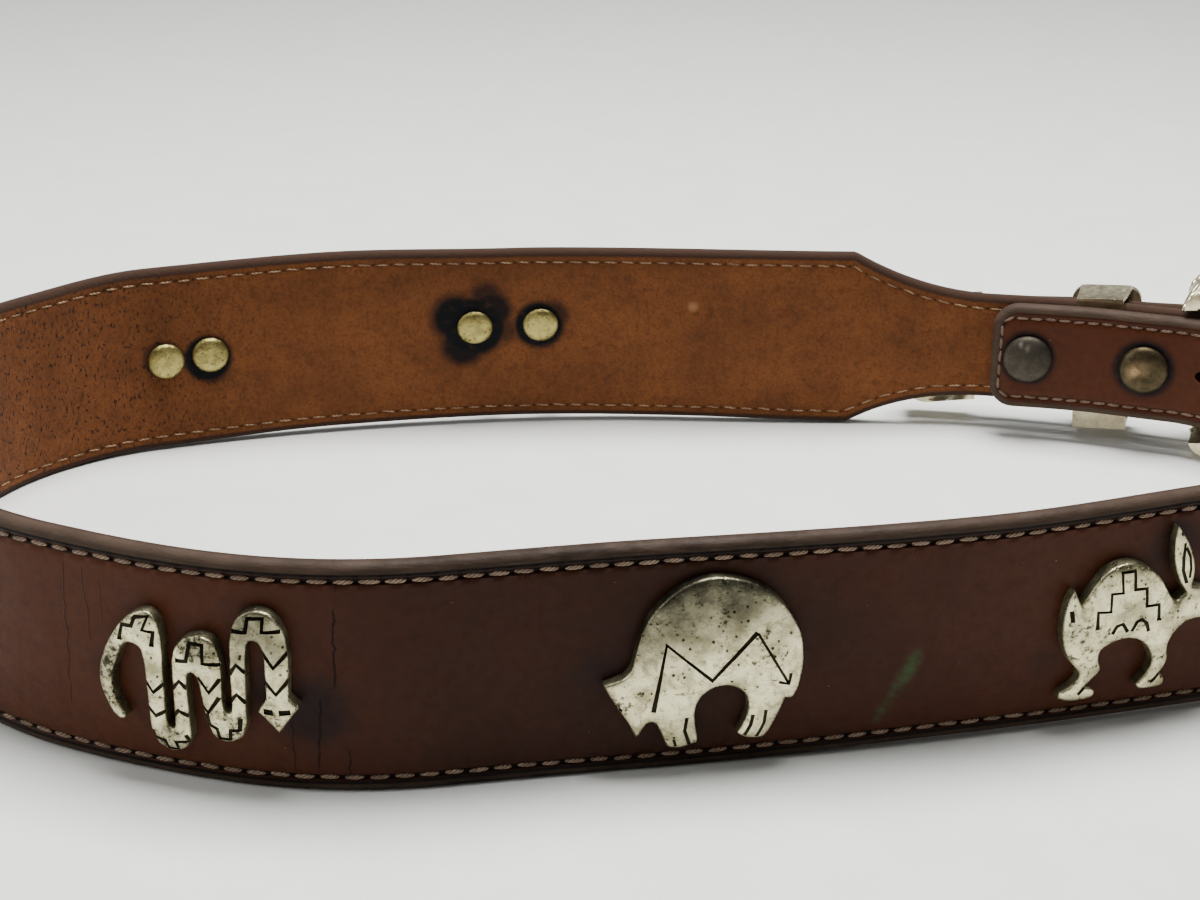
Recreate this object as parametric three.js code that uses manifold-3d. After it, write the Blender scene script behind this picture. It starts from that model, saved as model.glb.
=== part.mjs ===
// A studded leather belt, fastened and standing on its lower edge.
// The strap is two leather layers sewn together: a grain cover outside and a suede lining inside.
// Both ends narrow to the width of the buckle. The buckle end folds round the buckle bar and is
// held back by two snaps. The free end passes through the buckle and the keeper into a metal tip.
// Seven cast ornaments are riveted along the outside: rabbits, snakes and bears.
// Units are millimetres, +Z is up, and the origin is under the middle of the belt, on the table.

import * as THREE from 'three';
import { mergeVertices } from 'three/addons/utils/BufferGeometryUtils.js';
import { TessellateModifier } from 'three/addons/modifiers/TessellateModifier.js';
import Module from 'manifold-3d';

const wasm = await Module();
wasm.setup();

// Leather
const strapWidth = 38.1;
const coverThickness = 1.6;
const liningThickness = 1.3;
const layerGap = 0.3;
const liningInset = 0.3;
const strapThickness = coverThickness + layerGap + liningThickness;
const halfThickness = strapThickness / 2;
const narrowHalf = 11.2;
const wideHalf = strapWidth / 2;
const edgeRound = 0.9;
const endCornerRadius = 5.2;
const endCornerSteps = 4;

// Places along the strap, measured from the buckle bar
const tongueLength = 49.3;
const taperStart = 50;
const taperEnd = 78.5;
const billetTaperStart = 580.5;
const billetTaperEnd = 609;
const holePlaces = [711, 685.6, 660.2, 634.8, 609.4];
const holeDiameter = 5;

// Depths outwards from the middle of the strap beside the buckle
const tongueDepth = -4.8;
const billetDepth = 4.6;
const barDepth = -3.4;
const barRadius = 1.5;
const tongueBlendLength = 12;

// Prong slot
const slotWidth = 7;
const slotReach = 7.8;
const foldOuterRadius = 5;

// The bar's place on the table, and the direction in which the strap leaves it
const barX = 106.08;
const barY = 51.51;
const strapHeading = 160.1;

// Each row: length, turn to the left in degrees, then at its end the outward lean of the top
// edge in degrees and the lift of the lower edge off the table
const strapRows = [
  { name: 'buckle end', length: 24, turn: 0.2, lean: 0, lift: -0.5 },
  { name: 'keeper stretch', length: 24, turn: 10.1, lean: 0, lift: -0.8 },
  { name: 'taper', length: 30.5, turn: 8.4, lean: -3.0, lift: 0.3 },
  { name: 'back right', length: 36.5, turn: -1.8, lean: -5.3, lift: 1.0 },
  { name: 'back middle', length: 36, turn: 8.2, lean: -5.7, lift: 1.4 },
  { name: 'back dip', length: 36, turn: 6.3, lean: -0.8, lift: 1.2 },
  { name: 'back left', length: 36, turn: 7.0, lean: 1.2, lift: 0.4 },
  { name: 'back end', length: 24, turn: 27.5, lean: -1.7, lift: 0 },
  { name: 'left turn in', length: 20, turn: 28.0, lean: 0, lift: 0 },
  { name: 'left turn', length: 102, turn: 81.4, lean: 0, lift: 0 },
  { name: 'left turn out', length: 26, turn: 9.9, lean: 0.9, lift: 0 },
  { name: 'front left', length: 34, turn: 24.9, lean: 1.3, lift: 0 },
  { name: 'front bend', length: 30, turn: -2.3, lean: 0.7, lift: 0 },
  { name: 'front middle', length: 50, turn: 4.3, lean: 4.0, lift: 0.6 },
  { name: 'front right', length: 50, turn: 2.7, lean: -0.3, lift: 0.8 },
  { name: 'front end', length: 40, turn: 15.4, lean: 3.7, lift: 0 },
  { name: 'right turn in', length: 26, turn: 20.2, lean: 0, lift: 0 },
  { name: 'right turn', length: 44, turn: 57.5, lean: 0, lift: 0.3 },
  { name: 'right turn out', length: 30, turn: 51.4, lean: 0, lift: 1.0 },
  { name: 'billet', length: 20, turn: 0.3, lean: 0, lift: -0.4 },
];

// The free end past the bar, drooping towards its tip
const tailRows = [
  { name: 'tail at buckle', length: 24, turn: 0.2, lean: 0, lift: -1.5 },
  { name: 'tail at keeper', length: 24.8, turn: 10.1, lean: 0, lift: -2.6 },
  { name: 'tail end', length: 18.5, turn: 3.4, lean: 0, lift: -3.4 },
];

// Buckle frame: a deep casting, turned a little in its own plane
const frameLeft = 9.6;
const frameRight = 22;
const frameHalfHeight = 17.4;
const frameCorner = 4;
const frameOpeningLeft = 7;
const frameOpeningRight = 16.2;
const frameOpeningHalf = 14.5;
const frameChannelHalf = 14.2;
const frameBackDepth = -5.2;
const frameRimDepth = 6.6;
const frameFaceDepth = 9.8;
const frameTurn = -8;
const frameCentreHeight = 18.7;
const frameWallReach = 5;
const frameSlopeEnd = 14;

// Prong
const prongRadius = 1.2;
const prongEyeRadius = 3.1;
const prongEyeBore = 1.8;
const prongEyeWidth = 5;
const prongRestGap = 0.3;

// Keeper
const keeperPlace = 26.6;
const keeperBandWidth = 10.2;
const keeperBandThickness = 1.1;
const keeperBackDepth = -2.85;
const keeperBackThickness = 0.9;
const keeperInnerLow = 4.1;
const keeperInnerHigh = 30.1;
const keeperPlateDepth = 6.6;
const keeperPlateThickness = 1.8;
const keeperPlateWidth = 14;
const keeperPlateLow = 3.2;
const keeperPlateHigh = 30.7;
const keeperPlateCorner = 3;
const keeperBandCorner = 2.4;
const keeperTurn = -4.5;

// Tail tip
const tipLength = 15.6;
const tipWall = 0.7;
const tipGap = 0.3;
const tipFacet = 6;

// Snaps: the cap on the tongue, and the stud whose head lies outside the strap
const snapPlaces = [{ name: '1', s: 41.8 }, { name: '2', s: 17.8 }];
const snapCapRadius = 5.2;
const snapCapRise = 1.9;
const snapSocketRadius = 3.4;
const snapPostRadius = 1.9;
const snapBoreRadius = 1.4;
const snapStudRadius = 1.1;
const snapHeadRadius = 3.6;
const snapHoleRadius = 2.2;
const studHoleRadius = 1.4;

// Ornaments and their rivets
const ornamentBack = halfThickness + 0.3;
const ornamentThickness = 2.5;
const ornamentFacet = 6;
const rivetCapRadius = 3.7;
const rivetCapRise = 1.5;
const rivetPostRadius = 1.2;
const rivetHoleRadius = 1.5;
const rivetFaceGap = 0.3;

const toRadians = THREE.MathUtils.degToRad;
const smooth = (u) => u * u * (3 - 2 * u);

// Path on the table: a chain of arcs, each as long and as turned as its row says
function makePath(rows, startX, startY, startHeading, startLift) {
  const knots = [];
  let from = { s: 0, x: startX, y: startY, heading: startHeading, lean: 0, lift: startLift };
  for (const row of rows) {
    knots.push({ from, row });
    const to = alongRow(from, row, row.length);
    from = { ...to, s: from.s + row.length };
  }
  const total = from.s;
  const at = (s) => {
    const inside = Math.min(Math.max(s, 0), total);
    const knot = knots.findLast((entry) => entry.from.s <= inside + 1e-9);
    return alongRow(knot.from, knot.row, s - knot.from.s);
  };
  return { at, total, knots, end: from };
}

function alongRow(from, row, distance) {
  const start = toRadians(from.heading);
  const turn = toRadians(row.turn) * (distance / row.length);
  const chord = Math.abs(turn) < 1e-9 ? distance : distance * Math.sin(turn / 2) / (turn / 2);
  const share = smooth(Math.min(Math.max(distance / row.length, 0), 1));
  return {
    x: from.x + chord * Math.cos(start + turn / 2),
    y: from.y + chord * Math.sin(start + turn / 2),
    heading: from.heading + row.turn * (distance / row.length),
    lean: from.lean + (row.lean - from.lean) * share,
    lift: from.lift + (row.lift - from.lift) * share,
  };
}

// A local frame on the path: travel along it, outward across it
function frameAt(path, s) {
  const spot = path.at(s);
  const angle = toRadians(spot.heading);
  return {
    ...spot,
    along: new THREE.Vector2(Math.cos(angle), Math.sin(angle)),
    outward: new THREE.Vector2(Math.sin(angle), -Math.cos(angle)),
  };
}

// A point s along the path, t outwards from its middle and z above the strap's lower edge
function pointOn(path, s, t, z) {
  const spot = frameAt(path, s);
  const reach = t + z * Math.tan(toRadians(spot.lean));
  const x = spot.x + spot.outward.x * reach;
  const y = spot.y + spot.outward.y * reach;
  return new THREE.Vector3(x, y, z + spot.lift);
}

const strapPath = makePath(strapRows, barX, barY, strapHeading, -0.4);
const barSpot = frameAt(strapPath, 0);
const tailPath = makePath(
  tailRows,
  barX + barSpot.outward.x * billetDepth,
  barY + barSpot.outward.y * billetDepth,
  strapPath.end.heading - 360,
  strapPath.end.lift,
);

// Half the strap's width at each place: a hollow arc, smooth at the narrow end, with a corner at
// the wide end
function taperHalf(distance, length) {
  const rise = wideHalf - narrowHalf;
  const radius = (length ** 2 + rise ** 2) / (2 * rise);
  return narrowHalf + radius - Math.sqrt(radius ** 2 - distance ** 2);
}

function strapHalf(s) {
  if (s < taperStart || s > billetTaperEnd) return narrowHalf;
  if (s < taperEnd) return taperHalf(s - taperStart, taperEnd - taperStart);
  if (s > billetTaperStart) return taperHalf(billetTaperEnd - s, billetTaperEnd - billetTaperStart);
  return wideHalf;
}

// The leather's two ends have round corners
function endHalf(distanceFromEnd) {
  const short = Math.max(endCornerRadius - distanceFromEnd, 0);
  return narrowHalf - endCornerRadius + Math.sqrt(endCornerRadius ** 2 - short ** 2);
}

function cornerDistances(steps) {
  const angles = Array.from({ length: steps }, (_, i) => (i / steps) * (Math.PI / 2));
  return angles.map((angle) => endCornerRadius * (1 - Math.cos(angle)));
}

// Stations along the leather, from the tongue's end round the bar and on to the tail's end.
// Each has a middle point, the direction that the grain faces, and half the width there.
function tongueOffset(s) {
  const near = 1 - smooth(Math.min(s / tongueBlendLength, 1));
  return tongueDepth + (2 * barDepth - tongueDepth) * near;
}

function tongueStations() {
  const corner = cornerDistances(endCornerSteps);
  const stations = corner.map((distance) => ({ s: tongueLength - distance, half: endHalf(distance) }));
  const plainSteps = 11;
  const plainLength = tongueLength - endCornerRadius;
  for (let i = 0; i < plainSteps; i += 1) {
    stations.push({ s: plainLength * (1 - i / plainSteps), half: narrowHalf });
  }
  return stations.map(({ s, half }) => {
    const spot = frameAt(strapPath, s);
    const middle = new THREE.Vector2(spot.x, spot.y).addScaledVector(spot.outward, tongueOffset(s));
    return { middle, facing: spot.outward.clone().negate(), lean: 0, lift: spot.lift, half };
  });
}

function foldStations() {
  const steps = 8;
  const centre = new THREE.Vector2(barX, barY).addScaledVector(barSpot.outward, barDepth);
  const stations = [];
  for (let i = 0; i < steps; i += 1) {
    const angle = -Math.PI / 2 + (Math.PI * i) / steps;
    const facing = barSpot.along.clone().multiplyScalar(-Math.cos(angle));
    facing.addScaledVector(barSpot.outward, Math.sin(angle));
    const middle = centre.clone().addScaledVector(facing, -barDepth);
    stations.push({ middle, facing, lean: 0, lift: barSpot.lift, half: narrowHalf });
  }
  return stations;
}

const plainStep = 7;
const taperStep = 3.1;
const turnStep = 6.5;
const leanStep = 0.8;

function stationAt(path, s, half) {
  const spot = frameAt(path, s);
  const middle = new THREE.Vector2(spot.x, spot.y);
  return { middle, facing: spot.outward, lean: spot.lean, lift: spot.lift, half };
}

function rowStations(path, halfAt, length) {
  const places = [];
  for (const { from, row } of path.knots) {
    const run = Math.min(row.length, length - from.s);
    const tapers = halfAt(from.s) !== halfAt(from.s + run);
    const longestStep = tapers ? taperStep : plainStep;
    const twist = Math.abs(row.lean - from.lean);
    const steps = Math.ceil(Math.max(run / longestStep, Math.abs(row.turn) / turnStep, twist / leanStep));
    for (let i = 0; i < steps; i += 1) places.push(from.s + (run * i) / steps);
  }
  return places.map((s) => stationAt(path, s, halfAt(s)));
}

function leatherStations() {
  const strap = rowStations(strapPath, strapHalf, strapPath.total);
  const tail = rowStations(tailPath, () => narrowHalf, tailPath.total - endCornerRadius);
  const corner = [...cornerDistances(endCornerSteps), endCornerRadius].reverse();
  const end = corner.map((distance) => (
    stationAt(tailPath, tailPath.total - distance, endHalf(distance))
  ));
  return [...tongueStations(), ...foldStations(), ...strap, ...tail, ...end];
}

// A leather layer: its section is swept through the stations, the rounded corner on its open face
function layerGeometry(stations, innerDepth, outerDepth, roundOutside, inset) {
  const section = new THREE.Shape();
  const low = -wideHalf + inset;
  const high = wideHalf - inset;
  const open = roundOutside ? outerDepth : innerDepth;
  const shut = roundOutside ? innerDepth : outerDepth;
  const side = Math.sign(open - shut);
  const corner = 2;
  const points = [[shut, low]];
  for (let i = 0; i <= corner; i += 1) {
    const angle = (i / corner) * (Math.PI / 2);
    const depth = open - side * edgeRound * (1 - Math.sin(angle));
    points.push([depth, low + edgeRound * (1 - Math.cos(angle))]);
  }
  for (let i = corner; i >= 0; i -= 1) {
    const angle = (i / corner) * (Math.PI / 2);
    const depth = open - side * edgeRound * (1 - Math.sin(angle));
    points.push([depth, high - edgeRound * (1 - Math.cos(angle))]);
  }
  points.push([shut, high], [shut, 0]);
  section.setFromPoints(points.map(([depth, across]) => new THREE.Vector2(-depth, across)));
  const steps = stations.length - 1;
  const geometry = new THREE.ExtrudeGeometry(section, { depth: steps, steps, bevelEnabled: false });
  return bend(geometry, (x, y, z) => {
    const station = stations[Math.round(z)];
    const across = y === 0 ? 0 : Math.sign(y) * (station.half - (wideHalf - Math.abs(y)));
    const height = wideHalf + across;
    const reach = -x + height * Math.tan(toRadians(station.lean));
    const spot = station.middle.clone().addScaledVector(station.facing, reach);
    return new THREE.Vector3(spot.x, spot.y, height + station.lift);
  });
}

// Moves every vertex of a geometry, and merges those that meet
function bend(geometry, move) {
  const shape = geometry.clone();
  shape.deleteAttribute('normal');
  shape.deleteAttribute('uv');
  const place = shape.getAttribute('position');
  for (let i = 0; i < place.count; i += 1) {
    const spot = move(place.getX(i), place.getY(i), place.getZ(i));
    place.setXYZ(i, spot.x, spot.y, spot.z);
  }
  return mergeVertices(shape, 1e-4);
}

function toSolid(geometry) {
  const merged = geometry.index ? geometry : bend(geometry, (x, y, z) => new THREE.Vector3(x, y, z));
  const clean = merged.clone();
  clean.deleteAttribute('normal');
  clean.deleteAttribute('uv');
  const welded = mergeVertices(clean, 1e-4);
  const vertProperties = new Float32Array(welded.getAttribute('position').array);
  const triVerts = new Uint32Array(welded.index.array);
  return new wasm.Manifold(new wasm.Mesh({ numProp: 3, vertProperties, triVerts }));
}

function toGeometry(solid) {
  const mesh = solid.getMesh();
  const geometry = new THREE.BufferGeometry();
  geometry.setAttribute('position', new THREE.BufferAttribute(mesh.vertProperties, 3));
  geometry.setIndex(new THREE.BufferAttribute(mesh.triVerts, 1));
  return geometry;
}

// Turns a shape drawn as (along, height, outward) into place beside the bar or on the strap.
// Along is positive the way the strap travels.
function standOn(path, s, depth, geometry) {
  const spot = frameAt(path, s);
  const basis = new THREE.Matrix4().makeBasis(
    new THREE.Vector3(spot.along.x, spot.along.y, 0),
    new THREE.Vector3(0, 0, 1),
    new THREE.Vector3(spot.outward.x, spot.outward.y, 0),
  );
  const middle = pointOn(path, s, depth, 0);
  basis.setPosition(middle.x, middle.y, 0);
  return geometry.applyMatrix4(basis);
}

// A round piece whose axis points outwards through the strap, drawn as [radius, depth] rows
function throughStrap(path, s, height, profile, sides) {
  const points = profile.map(([radius, depth]) => new THREE.Vector2(radius, depth));
  const lathe = new THREE.LatheGeometry(points, sides);
  const spot = frameAt(path, s);
  lathe.rotateX(Math.PI + toRadians(spot.lean));
  lathe.rotateZ(toRadians(spot.heading));
  const middle = pointOn(path, s, 0, height);
  lathe.translate(middle.x, middle.y, middle.z);
  return lathe;
}

// Outline helpers
function roundedOutline(left, right, low, high, radius) {
  const outline = new THREE.Shape();
  outline.moveTo(left + radius, low);
  outline.absarc(right - radius, low + radius, radius, -Math.PI / 2, 0, false);
  outline.absarc(right - radius, high - radius, radius, 0, Math.PI / 2, false);
  outline.absarc(left + radius, high - radius, radius, Math.PI / 2, Math.PI, false);
  outline.absarc(left + radius, low + radius, radius, Math.PI, Math.PI * 1.5, false);
  return outline;
}

function slab(outline, low, high, curveSegments) {
  const options = { depth: high - low, bevelEnabled: false, curveSegments };
  return new THREE.ExtrudeGeometry(outline, options).translate(0, 0, low);
}

function box(left, right, low, high, back, front) {
  const shape = new THREE.BoxGeometry(right - left, high - low, front - back);
  return shape.translate((left + right) / 2, (low + high) / 2, (back + front) / 2);
}

// Materials
const materials = {
  grain: new THREE.MeshStandardMaterial({ color: 0x452d24, roughness: 0.55, metalness: 0 }),
  suede: new THREE.MeshStandardMaterial({ color: 0x734426, roughness: 0.9, metalness: 0 }),
  pewter: new THREE.MeshStandardMaterial({ color: 0xb4b29e, roughness: 0.45, metalness: 1 }),
  silver: new THREE.MeshStandardMaterial({ color: 0xc4bda8, roughness: 0.3, metalness: 1 }),
  rivet: new THREE.MeshStandardMaterial({ color: 0xb4aa78, roughness: 0.35, metalness: 1 }),
  gunmetal: new THREE.MeshStandardMaterial({ color: 0x4a4640, roughness: 0.4, metalness: 1 }),
  brass: new THREE.MeshStandardMaterial({ color: 0x7a7050, roughness: 0.45, metalness: 1 }),
};

const belt = new THREE.Group();

function addPiece(name, geometry, material) {
  const mesh = new THREE.Mesh(geometry, material);
  mesh.name = name;
  belt.add(mesh);
}

// Ornament figures. Each is drawn as seen from outside: x along the strap from the figure's
// middle, y above the strap's lower edge. A row is a straight step or a smooth run of points.
const figures = {
  snake: {
    start: [-12.0, 10.0],
    runs: [
      {
        smooth: true,
        points: [
          [-13.4, 11.4], [-14.8, 15.4], [-14.3, 19.5], [-12.2, 24], [-9.2, 27.8], [-6.2, 29.4],
          [-4.4, 28.2], [-3.8, 25],
        ],
      },
      { smooth: false, points: [[-4.3, 11.6]] },
      { smooth: true, points: [[-4.1, 10.5], [-3.5, 10.1], [-3, 10.6], [-2.8, 11.8]] },
      { smooth: false, points: [[-2.4, 22]] },
      { smooth: true, points: [[-1.8, 24], [-0.4, 25.7], [2, 26.6], [4.2, 25.7], [5.1, 22.6]] },
      { smooth: false, points: [[4.8, 15.6]] },
      { smooth: true, points: [[5, 14.5], [5.5, 14.1], [6, 14.6], [6.2, 15.8]] },
      { smooth: false, points: [[6.5, 26]] },
      {
        smooth: true,
        points: [[7.4, 29.4], [9, 31.1], [10.9, 31.6], [13, 30.7], [14.4, 27.9], [14.8, 24]],
      },
      {
        smooth: false,
        points: [[14.4, 17.6], [15.8, 15.9], [12.7, 11.5], [9.9, 15], [11.2, 17.2], [11.3, 23.6]],
      },
      { smooth: true, points: [[11, 25.7], [10.1, 26.7], [9.1, 26], [8.7, 23.6]] },
      { smooth: false, points: [[8.1, 12.4]] },
      { smooth: true, points: [[7.2, 10.2], [5.2, 9.2], [3.1, 10], [2.2, 12.6]] },
      { smooth: false, points: [[1.6, 18.4]] },
      { smooth: true, points: [[1.2, 19.8], [0.5, 20.3], [-0.2, 19.7], [-0.4, 18.4]] },
      { smooth: false, points: [[-0.5, 9]] },
      { smooth: true, points: [[-1.6, 7], [-3.8, 6.2], [-5.9, 7.2], [-6.9, 9.6]] },
      { smooth: false, points: [[-6.9, 21.4]] },
      {
        smooth: true,
        points: [
          [-7.3, 23], [-8.4, 23.6], [-10, 23.2], [-11.5, 20.5], [-12.7, 16.6], [-12.4, 13.4],
          [-11.3, 11], [-11.3, 10.3], [-12, 10],
        ],
      },
    ],
    rivets: [[-5.4, 19.5], [3.6, 19.2]],
  },
  bear: {
    start: [-14.7, 16.7],
    runs: [
      { smooth: false, points: [[-13.9, 15], [-11, 10], [-9.9, 7.5]] },
      { smooth: true, points: [[-9.3, 7.7], [-8.4, 9.4], [-7.5, 10], [-6.6, 9.2], [-5.2, 5.8]] },
      { smooth: true, points: [[-4.6, 5.3], [-3, 5.2], [-1.1, 5.7], [-0.5, 6.3], [-0.8, 8.6]] },
      {
        smooth: true,
        points: [
          [-1, 11.2], [-0.4, 13.6], [1.2, 15.1], [3.1, 15.6], [5, 15.1], [6.6, 13.5], [7, 11],
          [6.4, 8.8], [5.5, 7],
        ],
      },
      {
        smooth: true,
        points: [[6.2, 6.3], [7.6, 5.8], [9.2, 5.7], [10, 6.2], [11.6, 9.6], [12.6, 12.4]],
      },
      {
        smooth: true,
        points: [
          [13.8, 12.4], [14.7, 14.8], [15.1, 18.6], [14.7, 22.6], [13.2, 26.2], [10.6, 29.8],
          [7, 32.3], [2, 33.5], [-2.3, 32.6], [-6.2, 29.7], [-8.8, 25.8], [-9.9, 22],
        ],
      },
      { smooth: true, points: [[-10.4, 19.6], [-11.4, 18], [-13, 17.2], [-14.7, 16.7]] },
    ],
    rivets: [[-6.6, 21.0], [6.8, 21.0]],
  },
  rabbit: {
    start: [-12.2, 25.6],
    runs: [
      {
        smooth: true,
        points: [
          [-13.1, 23.6], [-13.5, 19.6], [-13, 16], [-11.7, 13.2], [-9.9, 11], [-9.7, 9.6],
          [-11, 8.2], [-12.4, 7.3], [-12.5, 6.2],
        ],
      },
      { smooth: true, points: [[-11, 5.6], [-8.4, 5.6], [-6.9, 6], [-6.7, 7], [-7.6, 7.8], [-8.6, 8]] },
      {
        smooth: true,
        points: [
          [-7.2, 9.6], [-6.3, 11], [-6.8, 12.8], [-6.6, 14.5], [-4.8, 15.7], [-2.5, 16],
          [-0.4, 15.4], [1.3, 13.7], [2.4, 11.4], [2, 9.3], [0.4, 7.1],
        ],
      },
      { smooth: true, points: [[0.9, 6.2], [3, 6.1], [4.9, 6.3], [5.2, 7.5], [4.2, 8.6]] },
      { smooth: true, points: [[5.1, 11], [4.8, 13.8], [5.9, 16], [7.4, 17.4]] },
      {
        smooth: true,
        points: [[9.6, 17.6], [12.4, 17.1], [14.1, 18.3], [13, 20.9], [10.6, 22.7], [7.7, 23.5]],
      },
      { smooth: true, points: [[7.9, 26.6], [6.6, 30.6], [4.3, 34]] },
      { smooth: true, points: [[3.9, 31.4], [4.3, 27.8], [5.3, 25], [6.8, 22.6]] },
      {
        smooth: true,
        points: [
          [5.4, 21.4], [4.2, 22.4], [2, 25.8], [-0.8, 28.2], [-4, 29.2], [-7.3, 28.1],
          [-9.6, 25], [-10.8, 22.8],
        ],
      },
      { smooth: true, points: [[-11.4, 24], [-12.2, 25.6]] },
    ],
    rivets: [[-6.8, 21.3], [7, 21.0]],
  },
};

const ornaments = [
  { name: 'rabbit_back', figure: 'rabbit', s: 150.4, raise: 0.4 },
  { name: 'snake_back', figure: 'snake', s: 217.4, raise: -0.3 },
  { name: 'bear_side', figure: 'bear', s: 275.5, raise: -0.4 },
  { name: 'rabbit_side', figure: 'rabbit', s: 334, raise: -0.4 },
  { name: 'snake_front', figure: 'snake', s: 393, raise: -0.3 },
  { name: 'bear_front', figure: 'bear', s: 467, raise: -0.4 },
  { name: 'rabbit_front', figure: 'rabbit', s: 536, raise: -0.4 },
];

const spacingOfCurvePoints = 2.1;

function figureOutline(figure) {
  const outline = new THREE.Shape();
  outline.moveTo(...figure.start);
  let last = figure.start;
  for (const run of figure.runs) {
    if (run.smooth) {
      const points = [last, ...run.points].map(([x, y]) => new THREE.Vector2(x, y));
      const curve = new THREE.SplineCurve(points);
      const count = Math.ceil(curve.getLength() / spacingOfCurvePoints);
      for (const spot of curve.getSpacedPoints(count).slice(1)) outline.lineTo(spot.x, spot.y);
    } else {
      for (const [x, y] of run.points) outline.lineTo(x, y);
    }
    last = run.points.at(-1);
  }
  return outline;
}

// The back of an ornament follows the strap, so its faces are cut small before they are bent
function ornamentGeometry({ figure, s, raise }) {
  const flat = slab(figureOutline(figures[figure]), 0, ornamentThickness, 1);
  flat.deleteAttribute('uv');
  const fine = new TessellateModifier(ornamentFacet, 12).modify(flat);
  return bend(fine, (x, y, z) => pointOn(strapPath, s + x, ornamentBack + z, y + raise));
}

for (const ornament of ornaments) {
  addPiece(ornament.name, ornamentGeometry(ornament), materials.pewter);
}

const rivetSpots = ornaments.flatMap(({ name, figure, s, raise }) => (
  figures[figure].rivets.map(([x, y], index) => ({
    name: `rivet_${name}_${index + 1}`,
    s: s + x,
    height: y + raise,
  }))
));

function rivetGeometry({ s, height }) {
  const base = -halfThickness - rivetFaceGap;
  const profile = [
    [0, base - rivetCapRise],
    [rivetCapRadius * 0.7, base - rivetCapRise * 0.78],
    [rivetCapRadius, base - 0.3],
    [rivetCapRadius, base],
    [rivetPostRadius, base],
    [rivetPostRadius, ornamentBack - rivetFaceGap],
    [0, ornamentBack - rivetFaceGap],
  ];
  return throughStrap(strapPath, s, height, profile, 14);
}

for (const spot of rivetSpots) {
  addPiece(spot.name, rivetGeometry(spot), materials.rivet);
}

// Cutting tools for the leather
function roundCutter(path, s, height, radius, back, front) {
  const profile = [[0, back], [radius, back], [radius, front], [0, front]];
  return toSolid(throughStrap(path, s, height, profile, 12));
}

function slotCutter() {
  const half = slotWidth / 2;
  const reach = foldOuterRadius + 1;
  const outline = new THREE.Shape();
  const middle = wideHalf + barSpot.lift;
  outline.moveTo(-reach, middle - half);
  outline.lineTo(slotReach - half, middle - half);
  outline.absarc(slotReach - half, middle, half, -Math.PI / 2, Math.PI / 2, false);
  outline.lineTo(-reach, middle + half);
  const cutter = slab(outline, barDepth - foldOuterRadius - 1, halfThickness + 1, 8);
  return toSolid(standOn(strapPath, 0, 0, cutter));
}

const cutters = [slotCutter()];
for (const place of holePlaces) {
  const reach = halfThickness + 1;
  cutters.push(roundCutter(strapPath, place, wideHalf, holeDiameter / 2, -reach, reach));
}
for (const spot of rivetSpots) {
  const reach = halfThickness + 0.2;
  cutters.push(roundCutter(strapPath, spot.s, spot.height, rivetHoleRadius, -reach, reach));
}
for (const snap of snapPlaces) {
  const tongueBack = tongueDepth - halfThickness - 0.8;
  const tongueFront = tongueDepth + halfThickness + 0.8;
  cutters.push(roundCutter(strapPath, snap.s, wideHalf, snapHoleRadius, tongueBack, tongueFront));
  const strapReach = halfThickness + 0.6;
  cutters.push(roundCutter(strapPath, snap.s, wideHalf, studHoleRadius, -strapReach, strapReach));
}

const leather = leatherStations();
const coverInner = halfThickness - coverThickness;
const layers = [
  { name: 'strap_cover', inner: coverInner, outer: halfThickness, outside: true, inset: 0 },
  {
    name: 'strap_lining',
    inner: -halfThickness,
    outer: -halfThickness + liningThickness,
    outside: false,
    inset: liningInset,
  },
];
for (const layer of layers) {
  const blank = layerGeometry(leather, layer.inner, layer.outer, layer.outside, layer.inset);
  const cut = cutters.reduce((solid, cutter) => solid.subtract(cutter), toSolid(blank));
  const material = layer.outside ? materials.grain : materials.suede;
  addPiece(layer.name, toGeometry(cut), material);
}

// Snaps
function snapCapGeometry({ s }) {
  const face = tongueDepth - halfThickness;
  const back = tongueDepth + halfThickness;
  const profile = [
    [0, face - snapCapRise],
    [snapCapRadius * 0.5, face - snapCapRise * 0.92],
    [snapCapRadius * 0.86, face - snapCapRise * 0.6],
    [snapCapRadius, face - 0.6],
    [snapCapRadius, face - 0.2],
    [snapPostRadius, face - 0.2],
    [snapPostRadius, back + 0.2],
    [snapSocketRadius, back + 0.2],
    [snapSocketRadius, back + 0.8],
    [snapBoreRadius, back + 0.8],
    [snapBoreRadius, back - 1.2],
    [0, back - 1.2],
  ];
  return throughStrap(strapPath, s, wideHalf, profile, 20);
}

function snapStudGeometry({ s }) {
  const profile = [
    [0, tongueDepth + halfThickness - 0.9],
    [snapStudRadius, tongueDepth + halfThickness - 0.5],
    [snapStudRadius, halfThickness + 0.2],
    [snapHeadRadius, halfThickness + 0.2],
    [snapHeadRadius, halfThickness + 0.6],
    [snapHeadRadius * 0.7, halfThickness + 1],
    [0, halfThickness + 1.1],
  ];
  return throughStrap(strapPath, s, wideHalf, profile, 14);
}

const snapFinishes = [materials.gunmetal, materials.brass];
snapPlaces.forEach((snap, index) => {
  addPiece(`snap_cap_${snap.name}`, snapCapGeometry(snap), snapFinishes[index]);
  addPiece(`snap_stud_${snap.name}`, snapStudGeometry(snap), materials.brass);
});

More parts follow.
